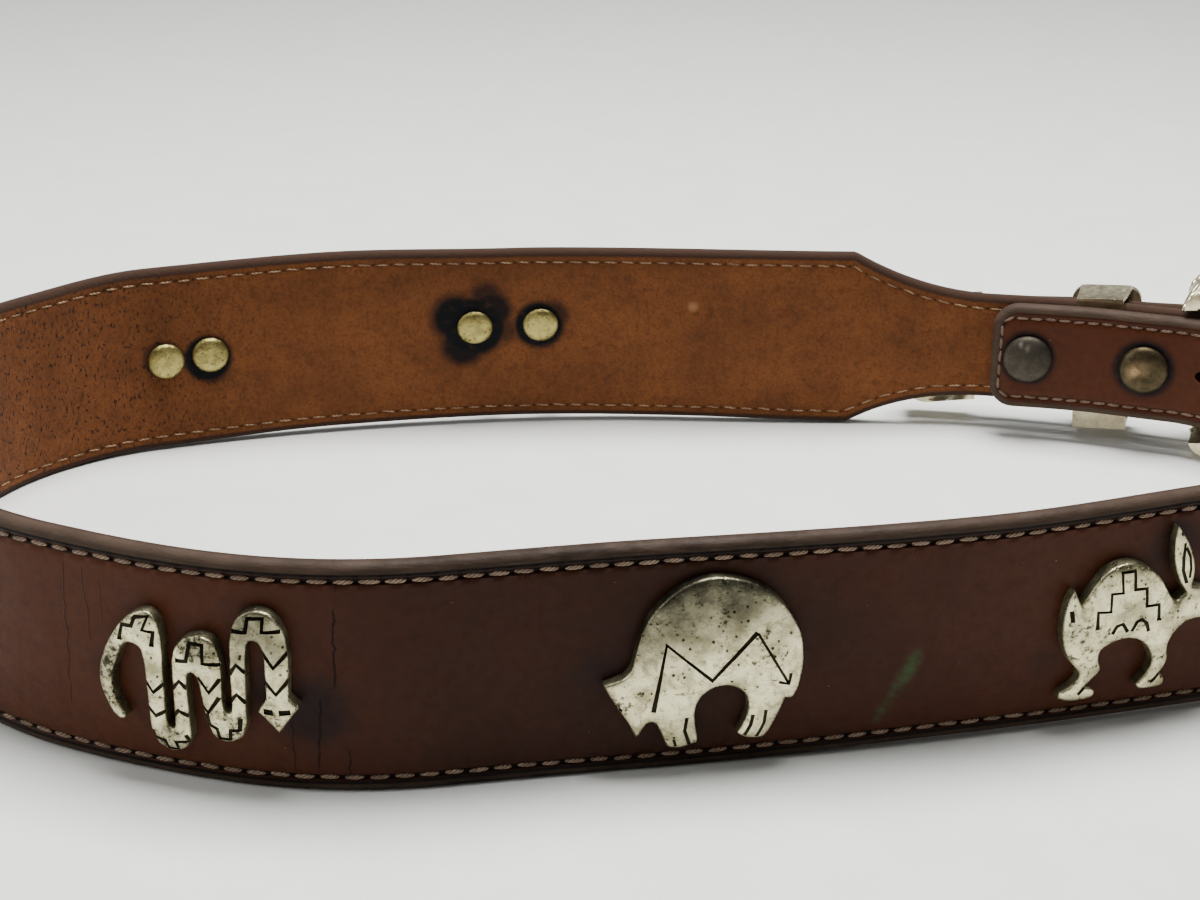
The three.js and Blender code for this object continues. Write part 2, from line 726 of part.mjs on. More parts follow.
// Buckle frame with its bar, drawn with the bar at the origin and turned in its own plane.
// Its side walls are deep beside the bar, and slope up to the thin far rim.
function buckleGeometry() {
  const turn = toRadians(frameTurn);
  const body = slab(
    roundedOutline(-frameRight, frameLeft, -frameHalfHeight, frameHalfHeight, frameCorner),
    frameBackDepth,
    frameFaceDepth,
    8,
  );
  const opening = box(
    -frameOpeningRight, frameOpeningLeft,
    -frameOpeningHalf, frameOpeningHalf,
    frameBackDepth - 1, frameFaceDepth + 1,
  );
  const channel = box(
    -frameRight - 1, frameLeft + 1,
    -frameChannelHalf, frameChannelHalf,
    frameBackDepth - 1, frameRimDepth,
  );
  const slope = new THREE.Shape();
  slope.moveTo(-frameWallReach, frameBackDepth - 1);
  slope.lineTo(-frameSlopeEnd, frameRimDepth);
  slope.lineTo(-frameRight - 1, frameRimDepth);
  slope.lineTo(-frameRight - 1, frameBackDepth - 1);
  const behind = slab(slope, -frameHalfHeight - 1, frameHalfHeight + 1, 1).rotateX(Math.PI / 2);
  const [whole, ...cuts] = [body, opening, channel, behind].map((shape) => (
    toSolid(shape.rotateZ(turn).translate(0, frameCentreHeight, 0))
  ));
  const bar = new THREE.CylinderGeometry(barRadius, barRadius, frameOpeningHalf * 2 + 2, 20);
  bar.translate(0, frameCentreHeight, barDepth);
  const solid = cuts.reduce((rest, cut) => rest.subtract(cut), whole).add(toSolid(bar));
  return standOn(strapPath, 0, 0, toGeometry(solid));
}

addPiece('buckle_frame', buckleGeometry(), materials.silver);

// Prong: an eye round the bar and a shank up through the hole on to the far rim
function prongGeometry() {
  const height = wideHalf + strapPath.end.lift + 0.3;
  const restDepth = frameFaceDepth + prongRestGap + prongRadius;
  const route = new THREE.CatmullRomCurve3([
    new THREE.Vector3(-2.2, height, barDepth),
    new THREE.Vector3(-5.8, height, barDepth + 0.9),
    new THREE.Vector3(-7.8, height, billetDepth - 3.4),
    new THREE.Vector3(-8.4, height, billetDepth + 1.2),
    new THREE.Vector3(-10.4, height, restDepth - 1.2),
    new THREE.Vector3(-14.4, height, restDepth + 0.5),
    new THREE.Vector3(-20.6, height, restDepth),
  ]);
  const section = new THREE.Shape().absarc(0, 0, prongRadius, 0, Math.PI * 2, false);
  const shank = new THREE.ExtrudeGeometry(section, { steps: 20, extrudePath: route, curveSegments: 5 });
  const round = (radius) => {
    const cylinder = new THREE.CylinderGeometry(radius, radius, prongEyeWidth, 20);
    return toSolid(cylinder.translate(0, height, barDepth));
  };
  const solid = round(prongEyeRadius).add(toSolid(shank)).subtract(round(prongEyeBore));
  return standOn(strapPath, 0, 0, toGeometry(solid));
}

addPiece('prong', prongGeometry(), materials.silver);

// Keeper: a bent band with a wider plate in front
function keeperGeometry() {
  const half = keeperBandWidth / 2;
  const low = keeperInnerLow - keeperBandThickness;
  const high = keeperInnerHigh + keeperBandThickness;
  const front = keeperPlateDepth + keeperPlateThickness;
  const corner = keeperBandCorner;
  const outline = new THREE.Shape();
  outline.moveTo(keeperBackDepth, low);
  outline.lineTo(front - corner, low);
  outline.absarc(front - corner, low + corner, corner, -Math.PI / 2, 0, false);
  outline.absarc(front - corner, high - corner, corner, 0, Math.PI / 2, false);
  outline.lineTo(keeperBackDepth, high);
  const band = slab(outline, -half, half, 6).rotateY(-Math.PI / 2);
  const inner = box(
    -half - 1, half + 1,
    keeperInnerLow, keeperInnerHigh,
    keeperBackDepth + keeperBackThickness, keeperPlateDepth,
  );
  const plateHalf = keeperPlateWidth / 2;
  const plate = slab(
    roundedOutline(-plateHalf, plateHalf, keeperPlateLow, keeperPlateHigh, keeperPlateCorner),
    keeperPlateDepth,
    front - 0.2,
    6,
  );
  const solid = toSolid(band).subtract(toSolid(inner)).add(toSolid(plate));
  const middle = (keeperInnerLow + keeperInnerHigh) / 2;
  const geometry = toGeometry(solid).translate(0, -middle, 0);
  geometry.rotateZ(toRadians(keeperTurn)).translate(0, middle, 0);
  return standOn(strapPath, keeperPlace, 0, geometry);
}

addPiece('keeper', keeperGeometry(), materials.silver);

// Tip: a metal shoe over the tail's end, bent as the tail is
function shoeOutline(start, end, half, radius) {
  const outline = new THREE.Shape();
  outline.moveTo(start, wideHalf - half);
  outline.lineTo(end - radius, wideHalf - half);
  outline.absarc(end - radius, wideHalf - half + radius, radius, -Math.PI / 2, 0, false);
  outline.absarc(end - radius, wideHalf + half - radius, radius, 0, Math.PI / 2, false);
  outline.lineTo(start, wideHalf + half);
  return outline;
}

function tipGeometry() {
  const outer = tipGap + tipWall;
  const end = tailPath.total + outer;
  const start = end - tipLength;
  const shell = slab(
    shoeOutline(start, end, narrowHalf + outer, endCornerRadius + outer),
    -halfThickness - outer,
    halfThickness + outer,
    6,
  );
  const pocket = slab(
    shoeOutline(start - 1, tailPath.total + tipGap, narrowHalf + tipGap, endCornerRadius),
    -halfThickness - tipGap,
    halfThickness + tipGap,
    6,
  );
  const solid = toSolid(shell).subtract(toSolid(pocket));
  const fine = new TessellateModifier(tipFacet, 12).modify(toGeometry(solid).toNonIndexed());
  return bend(fine, (x, y, z) => pointOn(tailPath, x, z, y));
}

addPiece('tail_tip', tipGeometry(), materials.silver);

export default belt;
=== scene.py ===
import functools
import math

import bmesh
import bpy
import numpy as np
from mathutils import Matrix, Vector, noise


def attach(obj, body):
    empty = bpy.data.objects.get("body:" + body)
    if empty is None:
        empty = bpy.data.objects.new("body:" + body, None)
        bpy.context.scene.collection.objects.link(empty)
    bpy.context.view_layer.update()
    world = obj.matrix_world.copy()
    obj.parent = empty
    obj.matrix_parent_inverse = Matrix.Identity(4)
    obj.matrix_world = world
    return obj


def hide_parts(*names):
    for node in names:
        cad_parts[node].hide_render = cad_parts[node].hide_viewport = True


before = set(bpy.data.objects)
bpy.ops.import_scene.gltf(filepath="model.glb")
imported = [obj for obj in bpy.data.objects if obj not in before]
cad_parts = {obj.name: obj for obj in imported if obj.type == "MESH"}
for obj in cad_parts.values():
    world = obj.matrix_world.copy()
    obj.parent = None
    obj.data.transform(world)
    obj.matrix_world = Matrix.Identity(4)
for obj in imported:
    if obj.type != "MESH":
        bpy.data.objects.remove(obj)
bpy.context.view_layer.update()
mm = 0.001  # every size below is in millimetres
print("frame loaded:", len(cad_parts), "nodes")

# The strap's line on the table. Each row is an arc: length, turn to the left, then the outward
# lean of the top edge and the lift of the lower edge that it reaches at its end.
strapRows = [
    (24, 0.2, 0, -0.5),  # buckle end
    (24, 10.1, 0, -0.8),
    (30.5, 8.4, -3.0, 0.3),  # taper
    (36.5, -1.8, -5.3, 1.0),  # back
    (36, 8.2, -5.7, 1.4),
    (36, 6.3, -0.8, 1.2),
    (36, 7.0, 1.2, 0.4),
    (24, 27.5, -1.7, 0),
    (20, 28.0, 0, 0),  # left turn
    (102, 81.4, 0, 0),
    (26, 9.9, 0.9, 0),
    (34, 24.9, 1.3, 0),  # front
    (30, -2.3, 0.7, 0),
    (50, 4.3, 4.0, 0.6),
    (50, 2.7, -0.3, 0.8),
    (40, 15.4, 3.7, 0),
    (26, 20.2, 0, 0),  # right turn
    (44, 57.5, 0, 0.3),
    (30, 51.4, 0, 1.0),
    (20, 0.3, 0, -0.4),  # end beside the bar
]
tailRows = [
    (24, 0.2, 0, -1.5),
    (24.8, 10.1, 0, -2.6),
    (18.5, 3.4, 0, -4.4),
]
route = {
    "barX": 106.08,
    "barY": 51.51,
    "heading": 160.1,
    "lift": -0.4,
    "barDepth": -3.4,  # the bar's place behind the strap's middle
    "billetDepth": 4.6,  # the free end passes this far outside the bar
    "tongueDepth": -4.8,
    "tongueBlend": 12.0,
    "tongueLength": 49.3,
    "joinEase": 40.0,
}


def ease(share):
    share = min(max(share, 0.0), 1.0)
    return share * share * (3 - 2 * share)


def alongRow(start, row, distance):
    x, y, heading, lean, lift = start
    length, turn, endLean, endLift = row
    bend = math.radians(turn) * distance / length
    chord = distance if abs(bend) < 1e-9 else distance * math.sin(bend / 2) / (bend / 2)
    angle = math.radians(heading) + bend / 2
    share = ease(distance / length)
    return (
        x + chord * math.cos(angle),
        y + chord * math.sin(angle),
        heading + turn * distance / length,
        lean + (endLean - lean) * share,
        lift + (endLift - lift) * share,
    )


def makeChain(rows, start):
    knots = []
    run = 0.0
    for row in rows:
        knots.append((run, start, row))
        start = alongRow(start, row, row[0])
        run += row[0]
    return {"knots": knots, "length": run, "end": start}


def spotOn(chain, run):
    inside = min(max(run, 0.0), chain["length"])
    begun, start, row = [knot for knot in chain["knots"] if knot[0] <= inside + 1e-9][-1]
    return alongRow(start, row, run - begun)


def outwardAt(heading):
    angle = math.radians(heading)
    return math.sin(angle), -math.cos(angle)


strapStart = (route["barX"], route["barY"], route["heading"], 0.0, route["lift"])
strapChain = makeChain(strapRows, strapStart)
barOut = outwardAt(route["heading"])
tailStart = (
    route["barX"] + barOut[0] * route["billetDepth"],
    route["barY"] + barOut[1] * route["billetDepth"],
    strapChain["end"][2] - 360,
    0.0,
    strapChain["end"][4],
)
tailChain = makeChain(tailRows, tailStart)
joinShift = (tailStart[0] - strapChain["end"][0], tailStart[1] - strapChain["end"][1])
foldRadius = -route["barDepth"]
foldLength = math.pi * foldRadius
tongueEnd = -foldLength - route["tongueLength"]
tailEnd = strapChain["length"] + tailChain["length"]


# Where the leather's middle is at each place along it, and the way its grain side faces.
# The run is 0 at the bar, negative round the fold and back along the tongue.
@functools.lru_cache(maxsize=None)
def leatherAt(run):
    length = strapChain["length"]
    if run > length:
        x, y, heading, lean, lift = spotOn(tailChain, run - length)
        return (x, y, *outwardAt(heading), math.tan(math.radians(lean)), lift)
    if run >= 0:
        x, y, heading, lean, lift = spotOn(strapChain, run)
        share = ease((run - length + route["joinEase"]) / route["joinEase"])
        x += joinShift[0] * share
        y += joinShift[1] * share
        return (x, y, *outwardAt(heading), math.tan(math.radians(lean)), lift)
    if run > -foldLength:
        angle = math.pi / 2 + run / foldRadius
        along = (-barOut[1], barOut[0])
        facingX = -along[0] * math.cos(angle) + barOut[0] * math.sin(angle)
        facingY = -along[1] * math.cos(angle) + barOut[1] * math.sin(angle)
        x = route["barX"] + barOut[0] * route["barDepth"] + facingX * foldRadius
        y = route["barY"] + barOut[1] * route["barDepth"] + facingY * foldRadius
        return (x, y, facingX, facingY, 0.0, route["lift"])
    back = -foldLength - run
    x, y, heading, lean, lift = spotOn(strapChain, back)
    out = outwardAt(heading)
    near = 1 - ease(back / route["tongueBlend"])
    offset = route["tongueDepth"] + (2 * route["barDepth"] - route["tongueDepth"]) * near
    return (x + out[0] * offset, y + out[1] * offset, -out[0], -out[1], 0.0, lift)


def onLeather(run, depth, height):
    x, y, outX, outY, tanLean, lift = leatherAt(run)
    reach = depth + height * tanLean
    return Vector((x + outX * reach, y + outY * reach, height + lift)) * mm


# A flat frame that stands on the leather: x along the run, y up the strap, z out of the grain side
def standingFrame(run, depth, height):
    _, _, outX, outY, tanLean, _ = leatherAt(run)
    lean = math.atan(tanLean)
    out = Vector((outX * math.cos(lean), outY * math.cos(lean), -math.sin(lean)))
    along = Vector((-outY, outX, 0))
    up = out.cross(along)
    place = Matrix((along, up, out)).transposed().to_4x4()
    place.translation = onLeather(run, depth, height)
    return place @ Matrix.Scale(mm, 4)


# Small helpers for meshes
def meshOf(name, bm):
    mesh = bpy.data.meshes.new(name)
    bm.to_mesh(mesh)
    bm.free()
    return mesh


def showObject(name, data):
    shown = bpy.data.objects.new(name, data)
    bpy.context.scene.collection.objects.link(shown)
    return shown


def newPiece(name, mesh, degrees, finish, replaced=None):
    piece = showObject(name, mesh)
    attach(piece, "root")
    if replaced:
        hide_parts(replaced)
    mesh.shade_smooth()
    mesh.set_sharp_from_angle(angle=math.radians(degrees))
    mesh.materials.clear()
    mesh.materials.append(finish)


def boolCut(bm, cutter, useSelf=False):
    parts = [showObject("blank", meshOf("blank", bm)), showObject("cutter", meshOf("cutter", cutter))]
    cut = parts[0].modifiers.new("cut", "BOOLEAN")
    cut.operation = "DIFFERENCE"
    cut.solver = "EXACT"
    cut.use_self = useSelf
    cut.object = parts[1]
    shaped = parts[0].evaluated_get(bpy.context.evaluated_depsgraph_get())
    result = bmesh.new()
    result.from_mesh(shaped.to_mesh())
    shaped.to_mesh_clear()
    for part in parts:
        mesh = part.data
        bpy.data.objects.remove(part)
        bpy.data.meshes.remove(mesh)
    return result


# A round piece: its profile's rows are radius and height, turned about the z axis
def turned(look, lift=0.0):
    bm = bmesh.new()
    verts = [bm.verts.new((radius, 0, height + lift)) for radius, height in look["profile"]]
    edges = [bm.edges.new(pair) for pair in zip(verts, verts[1:])]
    bmesh.ops.spin(
        bm, geom=verts + edges, cent=(0, 0, 0), axis=(0, 0, 1), angle=2 * math.pi,
        steps=look["steps"], use_merge=True,
    )
    bmesh.ops.remove_doubles(bm, verts=bm.verts, dist=0.001)
    bmesh.ops.recalc_face_normals(bm, faces=bm.faces)
    return bm


# Small helpers for finishes. A socket knows its own node tree, and a colour may be a hex code.
def tone(code):
    values = [int(code[i:i + 2], 16) / 255 for i in (0, 2, 4)]
    linear = [v / 12.92 if v <= 0.04045 else ((v + 0.055) / 1.055) ** 2.4 for v in values]
    return (*linear, 1.0)


def newFinish(name):
    finish = bpy.data.materials.new(name)
    finish.use_nodes = True
    tree = finish.node_tree
    return finish, tree, tree.nodes["Principled BSDF"].inputs


def isSocket(value):
    return isinstance(value, bpy.types.NodeSocket)


def setInput(socket, value):
    if isSocket(value):
        socket.id_data.links.new(value, socket)
    else:
        socket.default_value = tone(value) if isinstance(value, str) else value


def addNode(tree, kind, values, **settings):
    node = tree.nodes.new("ShaderNode" + kind)
    for name, value in settings.items():
        setattr(node, name, value)
    for name, value in values.items():
        setInput(node.inputs[name], value)
    return node


def objectPlace(tree):
    return addNode(tree, "TexCoord", {}).outputs["Object"]


# The strap's own map has the run as x and the height as y, in centimetres
def strapMap(tree):
    return addNode(tree, "UVMap", {}, uv_map="strapMap").outputs["UV"]


def attribute(tree, name):
    return addNode(tree, "Attribute", {}, attribute_name=name).outputs["Fac"]


def mapped(place, scale):
    return addNode(place.id_data, "Mapping", {"Vector": place, "Scale": scale}).outputs["Vector"]


def partsOf(place):
    return addNode(place.id_data, "SeparateXYZ", {0: place}).outputs


def noiseOn(place, scale, detail=3.0, roughness=0.55, distortion=0.0):
    values = {"Vector": place, "Scale": scale, "Detail": detail, "Roughness": roughness}
    values["Distortion"] = distortion
    return addNode(place.id_data, "TexNoise", values).outputs["Fac"]


def cellsOn(place, scale):
    values = {"Vector": place, "Scale": scale}
    return addNode(place.id_data, "TexVoronoi", values).outputs["Distance"]


def mathOf(operation, first, second=0.0, clamp=False):
    tree = (first if isSocket(first) else second).id_data
    values = {0: first, 1: second}
    return addNode(tree, "Math", values, operation=operation, use_clamp=clamp).outputs[0]


times, plus, minus, larger = (
    functools.partial(mathOf, operation) for operation in ("MULTIPLY", "ADD", "SUBTRACT", "MAXIMUM")
)
absolute = functools.partial(mathOf, "ABSOLUTE")


# Turns a value from low..high into 0..1, smoothly
def between(value, low, high, toLow=0.0, toHigh=1.0):
    values = {"Value": value, "From Min": low, "From Max": high, "To Min": toLow, "To Max": toHigh}
    node = addNode(value.id_data, "MapRange", values, interpolation_type="SMOOTHSTEP")
    return node.outputs["Result"]


def blended(share, first, second):
    values = {0: share, 6: first, 7: second}
    return addNode(share.id_data, "Mix", values, data_type="RGBA").outputs[2]


def bumped(height, strength, distance, under=None):
    values = {"Height": height, "Strength": strength, "Distance": distance}
    if under:
        values["Normal"] = under
    return addNode(height.id_data, "Bump", values).outputs["Normal"]


# Soft round patches. A row is run, height, where it starts to fade, where it ends, and strength.
def patches(place, rows):
    total = 0.0
    for run, height, inner, outer, strength in rows:
        values = {0: place, 1: (run / 10, height / 10, 0)}
        apart = addNode(place.id_data, "VectorMath", values, operation="DISTANCE").outputs["Value"]
        total = larger(between(apart, outer / 10, inner / 10, 0.0, strength), total)
    return total


# Thin upright cracks. A row is run, lean, low end, high end, half width and strength.
def cracks(place, rows):
    along, up, _ = partsOf(place)
    waver = noiseOn(mapped(place, (0.7, 1, 1)), 3.2, 6, 0.7)
    along = plus(along, times(minus(waver, 0.5), 0.2))
    total = 0.0
    for run, lean, low, high, half, strength in rows:
        line = plus(times(up, lean), (run - lean * (low + high) / 2) / 10)
        crack = between(absolute(minus(along, line)), half / 10, half / 40, 0.0, strength)
        crack = times(crack, between(up, low / 10, low / 10 + 0.15))
        crack = times(crack, between(up, high / 10, high / 10 - 0.15))
        total = larger(crack, total)
    return total


# The distance from the stitch line, and a wave that peaks at its needle holes
def seamMarks(tree):
    turn = times(attribute(tree, "seamPhase"), math.pi)
    return absolute(attribute(tree, "fromSeam")), absolute(mathOf("COSINE", turn))


# The leather
leather = {
    "wideHalf": 19.05,
    "narrowHalf": 11.2,
    "taperStart": 50.0,
    "taperLength": 28.5,
    "billetTaperEnd": 609.0,
    "endCorner": 5.2,
    "tipTrim": 1.0,  # taken off each side inside the metal tip
    "tipReach": 18.6,
    "tipEase": 4.0,
    "seamDepth": -0.12,  # where the two layers meet
    "coverFace": 1.6,
    "liningFace": -1.6,
    "edgeRound": 1.35,
    "edgeSegments": 6,
    "seamGap": 2.65,  # the stitch line's distance from the edge
    "endSeamGap": 1.75,  # and from the end
    "seamCorner": 2.6,
    "seamHalf": 0.55,
    "seamCuts": (-1, -0.6, -0.2, 0.2, 0.6, 1),  # lines along the channel, in shares of its half width
    "coverDip": 0.36,
    "liningDip": 0.07,
    "tongueDipShare": 0.5,
    "holeDip": 0.22,
    "faceStep": 3.0,  # between the lines along the middle of the face
    "keptMargin": 4.2,  # this much of each side keeps its distance from the edge
    "stitchPitch": 3.63,
    "tonguePitch": 3.0,
    "endStitches": 7,
    "stationsPerStitch": 4,
    "endStations": 14,  # the last stations, which stand closer together
    "waviness": 0.07,
    "waveScale": (0.045, 0.05),
    "rippleScale": (0.3, 0.2),
    "rippleShare": 0.35,
}
holes = {
    "beltHoles": [711, 685.6, 660.2, 634.8, 609.4],  # runs
    "beltHoleRadius": 2.5,
    "slotHalf": 3.5,
    "slotReach": 7.8,
    "rivetRadius": 1.5,
    "snapPlaces": [41.8, 17.8],
    "snapRadius": 2.2,
    "studRadius": 1.4,
    "sides": 28,
}
stationStep = leather["stitchPitch"] / leather["stationsPerStitch"]
seamStart = tongueEnd + leather["endSeamGap"] + leather["seamCorner"]


# Each taper is a hollow arc, smooth at its narrow end, with a corner at its wide end
taperRise = leather["wideHalf"] - leather["narrowHalf"]
taperRadius = (leather["taperLength"] ** 2 + taperRise ** 2) / (2 * taperRise)


def alongTapers(run):
    reach = leather["taperLength"] + leather["keptMargin"]
    places = (run - leather["taperStart"], leather["billetTaperEnd"] - run)
    return [max(place, 0) for place in places if place < reach]


# Half the width between the two lines that run this far inside the sides
def lineHalf(run, gap):
    half = leather["wideHalf"] - gap
    for along in alongTapers(run):
        hollow = taperRadius - math.sqrt((taperRadius + gap) ** 2 - along ** 2)
        half = min(half, leather["narrowHalf"] + hollow)
    return half


def fromSides(run, height):
    across = abs(height - leather["wideHalf"])
    gap = leather["wideHalf"] - across
    for along in alongTapers(run):
        reach = math.hypot(along, leather["narrowHalf"] + taperRadius - across)
        gap = min(gap, reach - taperRadius)
    return gap


# What the round corners at the two ends, and the trim inside the tip, take off the half width
@functools.lru_cache(maxsize=None)
def endLoss(run):
    corner = leather["endCorner"]
    short = max(corner - max(min(run - tongueEnd, tailEnd - run), 0), 0)
    trim = leather["tipTrim"] * ease((run - tailEnd + leather["tipReach"]) / leather["tipEase"])
    return trim + corner - math.sqrt(corner ** 2 - short ** 2)


# Leather close to an edge keeps its distance from that edge where the strap narrows
def narrowed(run, height):
    across = height - leather["wideHalf"]
    gap = leather["wideHalf"] - abs(across)
    margin = leather["keptMargin"]
    if gap <= margin:
        return leather["wideHalf"] + math.copysign(lineHalf(run, gap) - endLoss(run), across)
    inner = lineHalf(run, margin) - endLoss(run)
    return leather["wideHalf"] + across * inner / (leather["wideHalf"] - margin)


# How far a place is inside a line that runs round the leather, this far in from its sides and ends
def insideLine(run, height, side, end, corner):
    gap = fromSides(run, height) - side
    fromEnd = min(run - tongueEnd, tailEnd - run) - end
    if gap < corner and fromEnd < corner:
        return corner - math.hypot(corner - gap, corner - fromEnd)
    return min(gap, fromEnd)


def insideSeam(run, height):
    return insideLine(run, height, leather["seamGap"], leather["endSeamGap"], leather["seamCorner"])


# The stitch line across the tongue's end: half its length and the stitches that it holds
endStraight = leather["narrowHalf"] - leather["seamGap"] - leather["seamCorner"]
endPitch = 2 * (leather["seamCorner"] * math.pi / 2 + endStraight) / leather["endStitches"]
tongueStitches = round(-seamStart / leather["tonguePitch"])


# The place along the stitch line, counted in stitches from where the line leaves the tongue's end
def seamPhase(run, height):
    corner = leather["seamCorner"]
    if run >= 0:
        return tongueStitches + run / leather["stitchPitch"]
    if run >= seamStart:
        return tongueStitches * (1 - run / seamStart)
    across = abs(height - leather["wideHalf"]) - endStraight
    if across > 0:
        return -corner * math.atan2(seamStart - run, across) / endPitch
    return -(corner * math.pi / 2 - across) / endPitch


def dipAt(run, height, deepest):
    share = max(0.0, 1 - (insideSeam(run, height) / leather["seamHalf"]) ** 2)
    if run < 0:
        share *= leather["tongueDipShare"]
    needle = abs(math.cos(math.pi * seamPhase(run, height))) ** 8
    return share * deepest * (1 + needle * leather["holeDip"] / leather["coverDip"])


def closerAtEnds(run):
    reach = stationStep * leather["endStations"]
    for end, side in ((tongueEnd, 1), (tailEnd, -1)):
        distance = (run - end) * side
        if distance < reach:
            return end + side * reach * (max(distance, 0) / reach) ** 2
    return run


# A straight strip of leather: a block with its open corners rounded, cut into stations
def leatherBlank(shut, openFace):
    total = tailEnd - tongueEnd
    middle = ((tongueEnd + tailEnd) / 2, (shut + openFace) / 2, leather["wideHalf"])
    reach = Matrix.Diagonal((total, abs(openFace - shut), 2 * leather["wideHalf"], 1))
    bm = bmesh.new()
    bmesh.ops.create_cube(bm, size=1, matrix=Matrix.Translation(middle) @ reach)
    corners = [
        edge for edge in bm.edges
        if all(abs(vert.co.y - openFace) < 1e-4 for vert in edge.verts)
        and abs(edge.verts[0].co.x - edge.verts[1].co.x) > 1
    ]
    bmesh.ops.bevel(
        bm, geom=corners, affect="EDGES", offset=leather["edgeRound"],
        segments=leather["edgeSegments"], profile=0.5, material=-1,
    )
    gaps = [leather["seamGap"] + leather["seamHalf"] * share for share in leather["seamCuts"]]
    gaps.append(leather["keptMargin"])
    inner = leather["keptMargin"] + leather["faceStep"]
    while inner < leather["wideHalf"]:
        gaps.append(inner)
        inner += leather["faceStep"]
    for gap in gaps:
        for height in (gap, 2 * leather["wideHalf"] - gap):
            bmesh.ops.bisect_plane(
                bm, geom=bm.verts[:] + bm.edges[:] + bm.faces[:],
                plane_co=(0, 0, height), plane_no=(0, 0, 1),
            )
    lengthwise = [edge for edge in bm.edges if abs(edge.verts[0].co.x - edge.verts[1].co.x) > 1]
    bmesh.ops.subdivide_edges(
        bm, edges=lengthwise, cuts=round(total / stationStep) - 1, use_grid_fill=True,
    )
    return bm


# Pins for every hole, in the strip's own straight frame
def leatherPins():
    bm = bmesh.new()

    def pin(run, height, radius):
        place = Matrix.Translation((run, 0, height)) @ Matrix.Rotation(math.pi / 2, 4, "X")
        bmesh.ops.create_cone(
            bm, cap_ends=True, segments=holes["sides"], radius1=radius, radius2=radius,
            depth=6, matrix=place,
        )

    for run in holes["beltHoles"]:
        pin(run, leather["wideHalf"], holes["beltHoleRadius"])
    for run, height in rivetPlaces:
        pin(run, height, holes["rivetRadius"])
    for run in holes["snapPlaces"]:
        pin(-foldLength - run, leather["wideHalf"], holes["snapRadius"])
        pin(run, leather["wideHalf"], holes["studRadius"])
    slotEnd = holes["slotReach"] - holes["slotHalf"]
    middle = (-foldLength / 2, 0, leather["wideHalf"])
    length = foldLength + 2 * slotEnd
    slot = bmesh.new()
    bmesh.ops.create_cube(
        slot, size=1,
        matrix=Matrix.Translation(middle) @ Matrix.Diagonal((length, 6, 2 * holes["slotHalf"], 1)),
    )
    for side in (-1, 1):
        ends = [
            edge for edge in slot.edges
            if all((vert.co.x - middle[0]) * side > 0 for vert in edge.verts)
            and abs(edge.verts[0].co.y - edge.verts[1].co.y) > 1
        ]
        for vert in {vert for edge in ends for vert in edge.verts}:
            vert.co.x += side * holes["slotHalf"]
        bmesh.ops.bevel(
            slot, geom=ends, affect="EDGES", offset=holes["slotHalf"] * 0.98,
            segments=8, profile=0.5, material=-1,
        )
    mesh = meshOf("slot", slot)
    bm.from_mesh(mesh)
    bpy.data.meshes.remove(mesh)
    return bm


def unevenAt(run, height, scale, seed):
    return noise.noise(Vector((run * scale[0], height * scale[1], seed)))


# Bends a strip into place. Its map and its distance from the edge are noted before it bends.
def leatherLayer(name, shut, openFace, dip, finish, node):
    bm = boolCut(leatherBlank(shut, openFace), leatherPins())
    side = math.copysign(1, openFace - shut)
    strapUv = bm.loops.layers.uv.new("strapMap")
    edgeGap = bm.verts.layers.float.new("edgeGap")
    fromSeam = bm.verts.layers.float.new("fromSeam")
    phase = bm.verts.layers.float.new("seamPhase")
    roundness = leather["edgeRound"]
    straight = {}
    for vert in bm.verts:
        run = closerAtEnds(round(vert.co.x, 4))
        height = narrowed(run, vert.co.z)
        depth = vert.co.y
        fromEnd = min(run - tongueEnd, tailEnd - run)
        if fromEnd < roundness:
            drop = roundness - math.sqrt(roundness ** 2 - (roundness - max(fromEnd, 0)) ** 2)
            depth = side * min(side * depth, side * openFace - drop)
        if side * depth > side * openFace - 0.02:
            depth -= side * dipAt(run, height, dip)
        wave = unevenAt(run, height, leather["waveScale"], 3.0)
        ripple = unevenAt(run, height, leather["rippleScale"], side * 7.0) * side * (depth - shut)
        depth += leather["waviness"] * (wave + leather["rippleShare"] * ripple)
        straight[vert.index] = (run, height)
        vert[edgeGap] = insideLine(run, height, 0, 0, leather["endCorner"])
        vert[fromSeam] = insideSeam(run, height)
        vert[phase] = seamPhase(run, height)
        vert.co = onLeather(run, depth, height)
    for face in bm.faces:
        for loop in face.loops:
            run, height = straight[loop.vert.index]
            loop[strapUv].uv = (run / 10, height / 10)
    bmesh.ops.recalc_face_normals(bm, faces=bm.faces)
    newPiece(name, meshOf(name, bm), 50, finish, node)


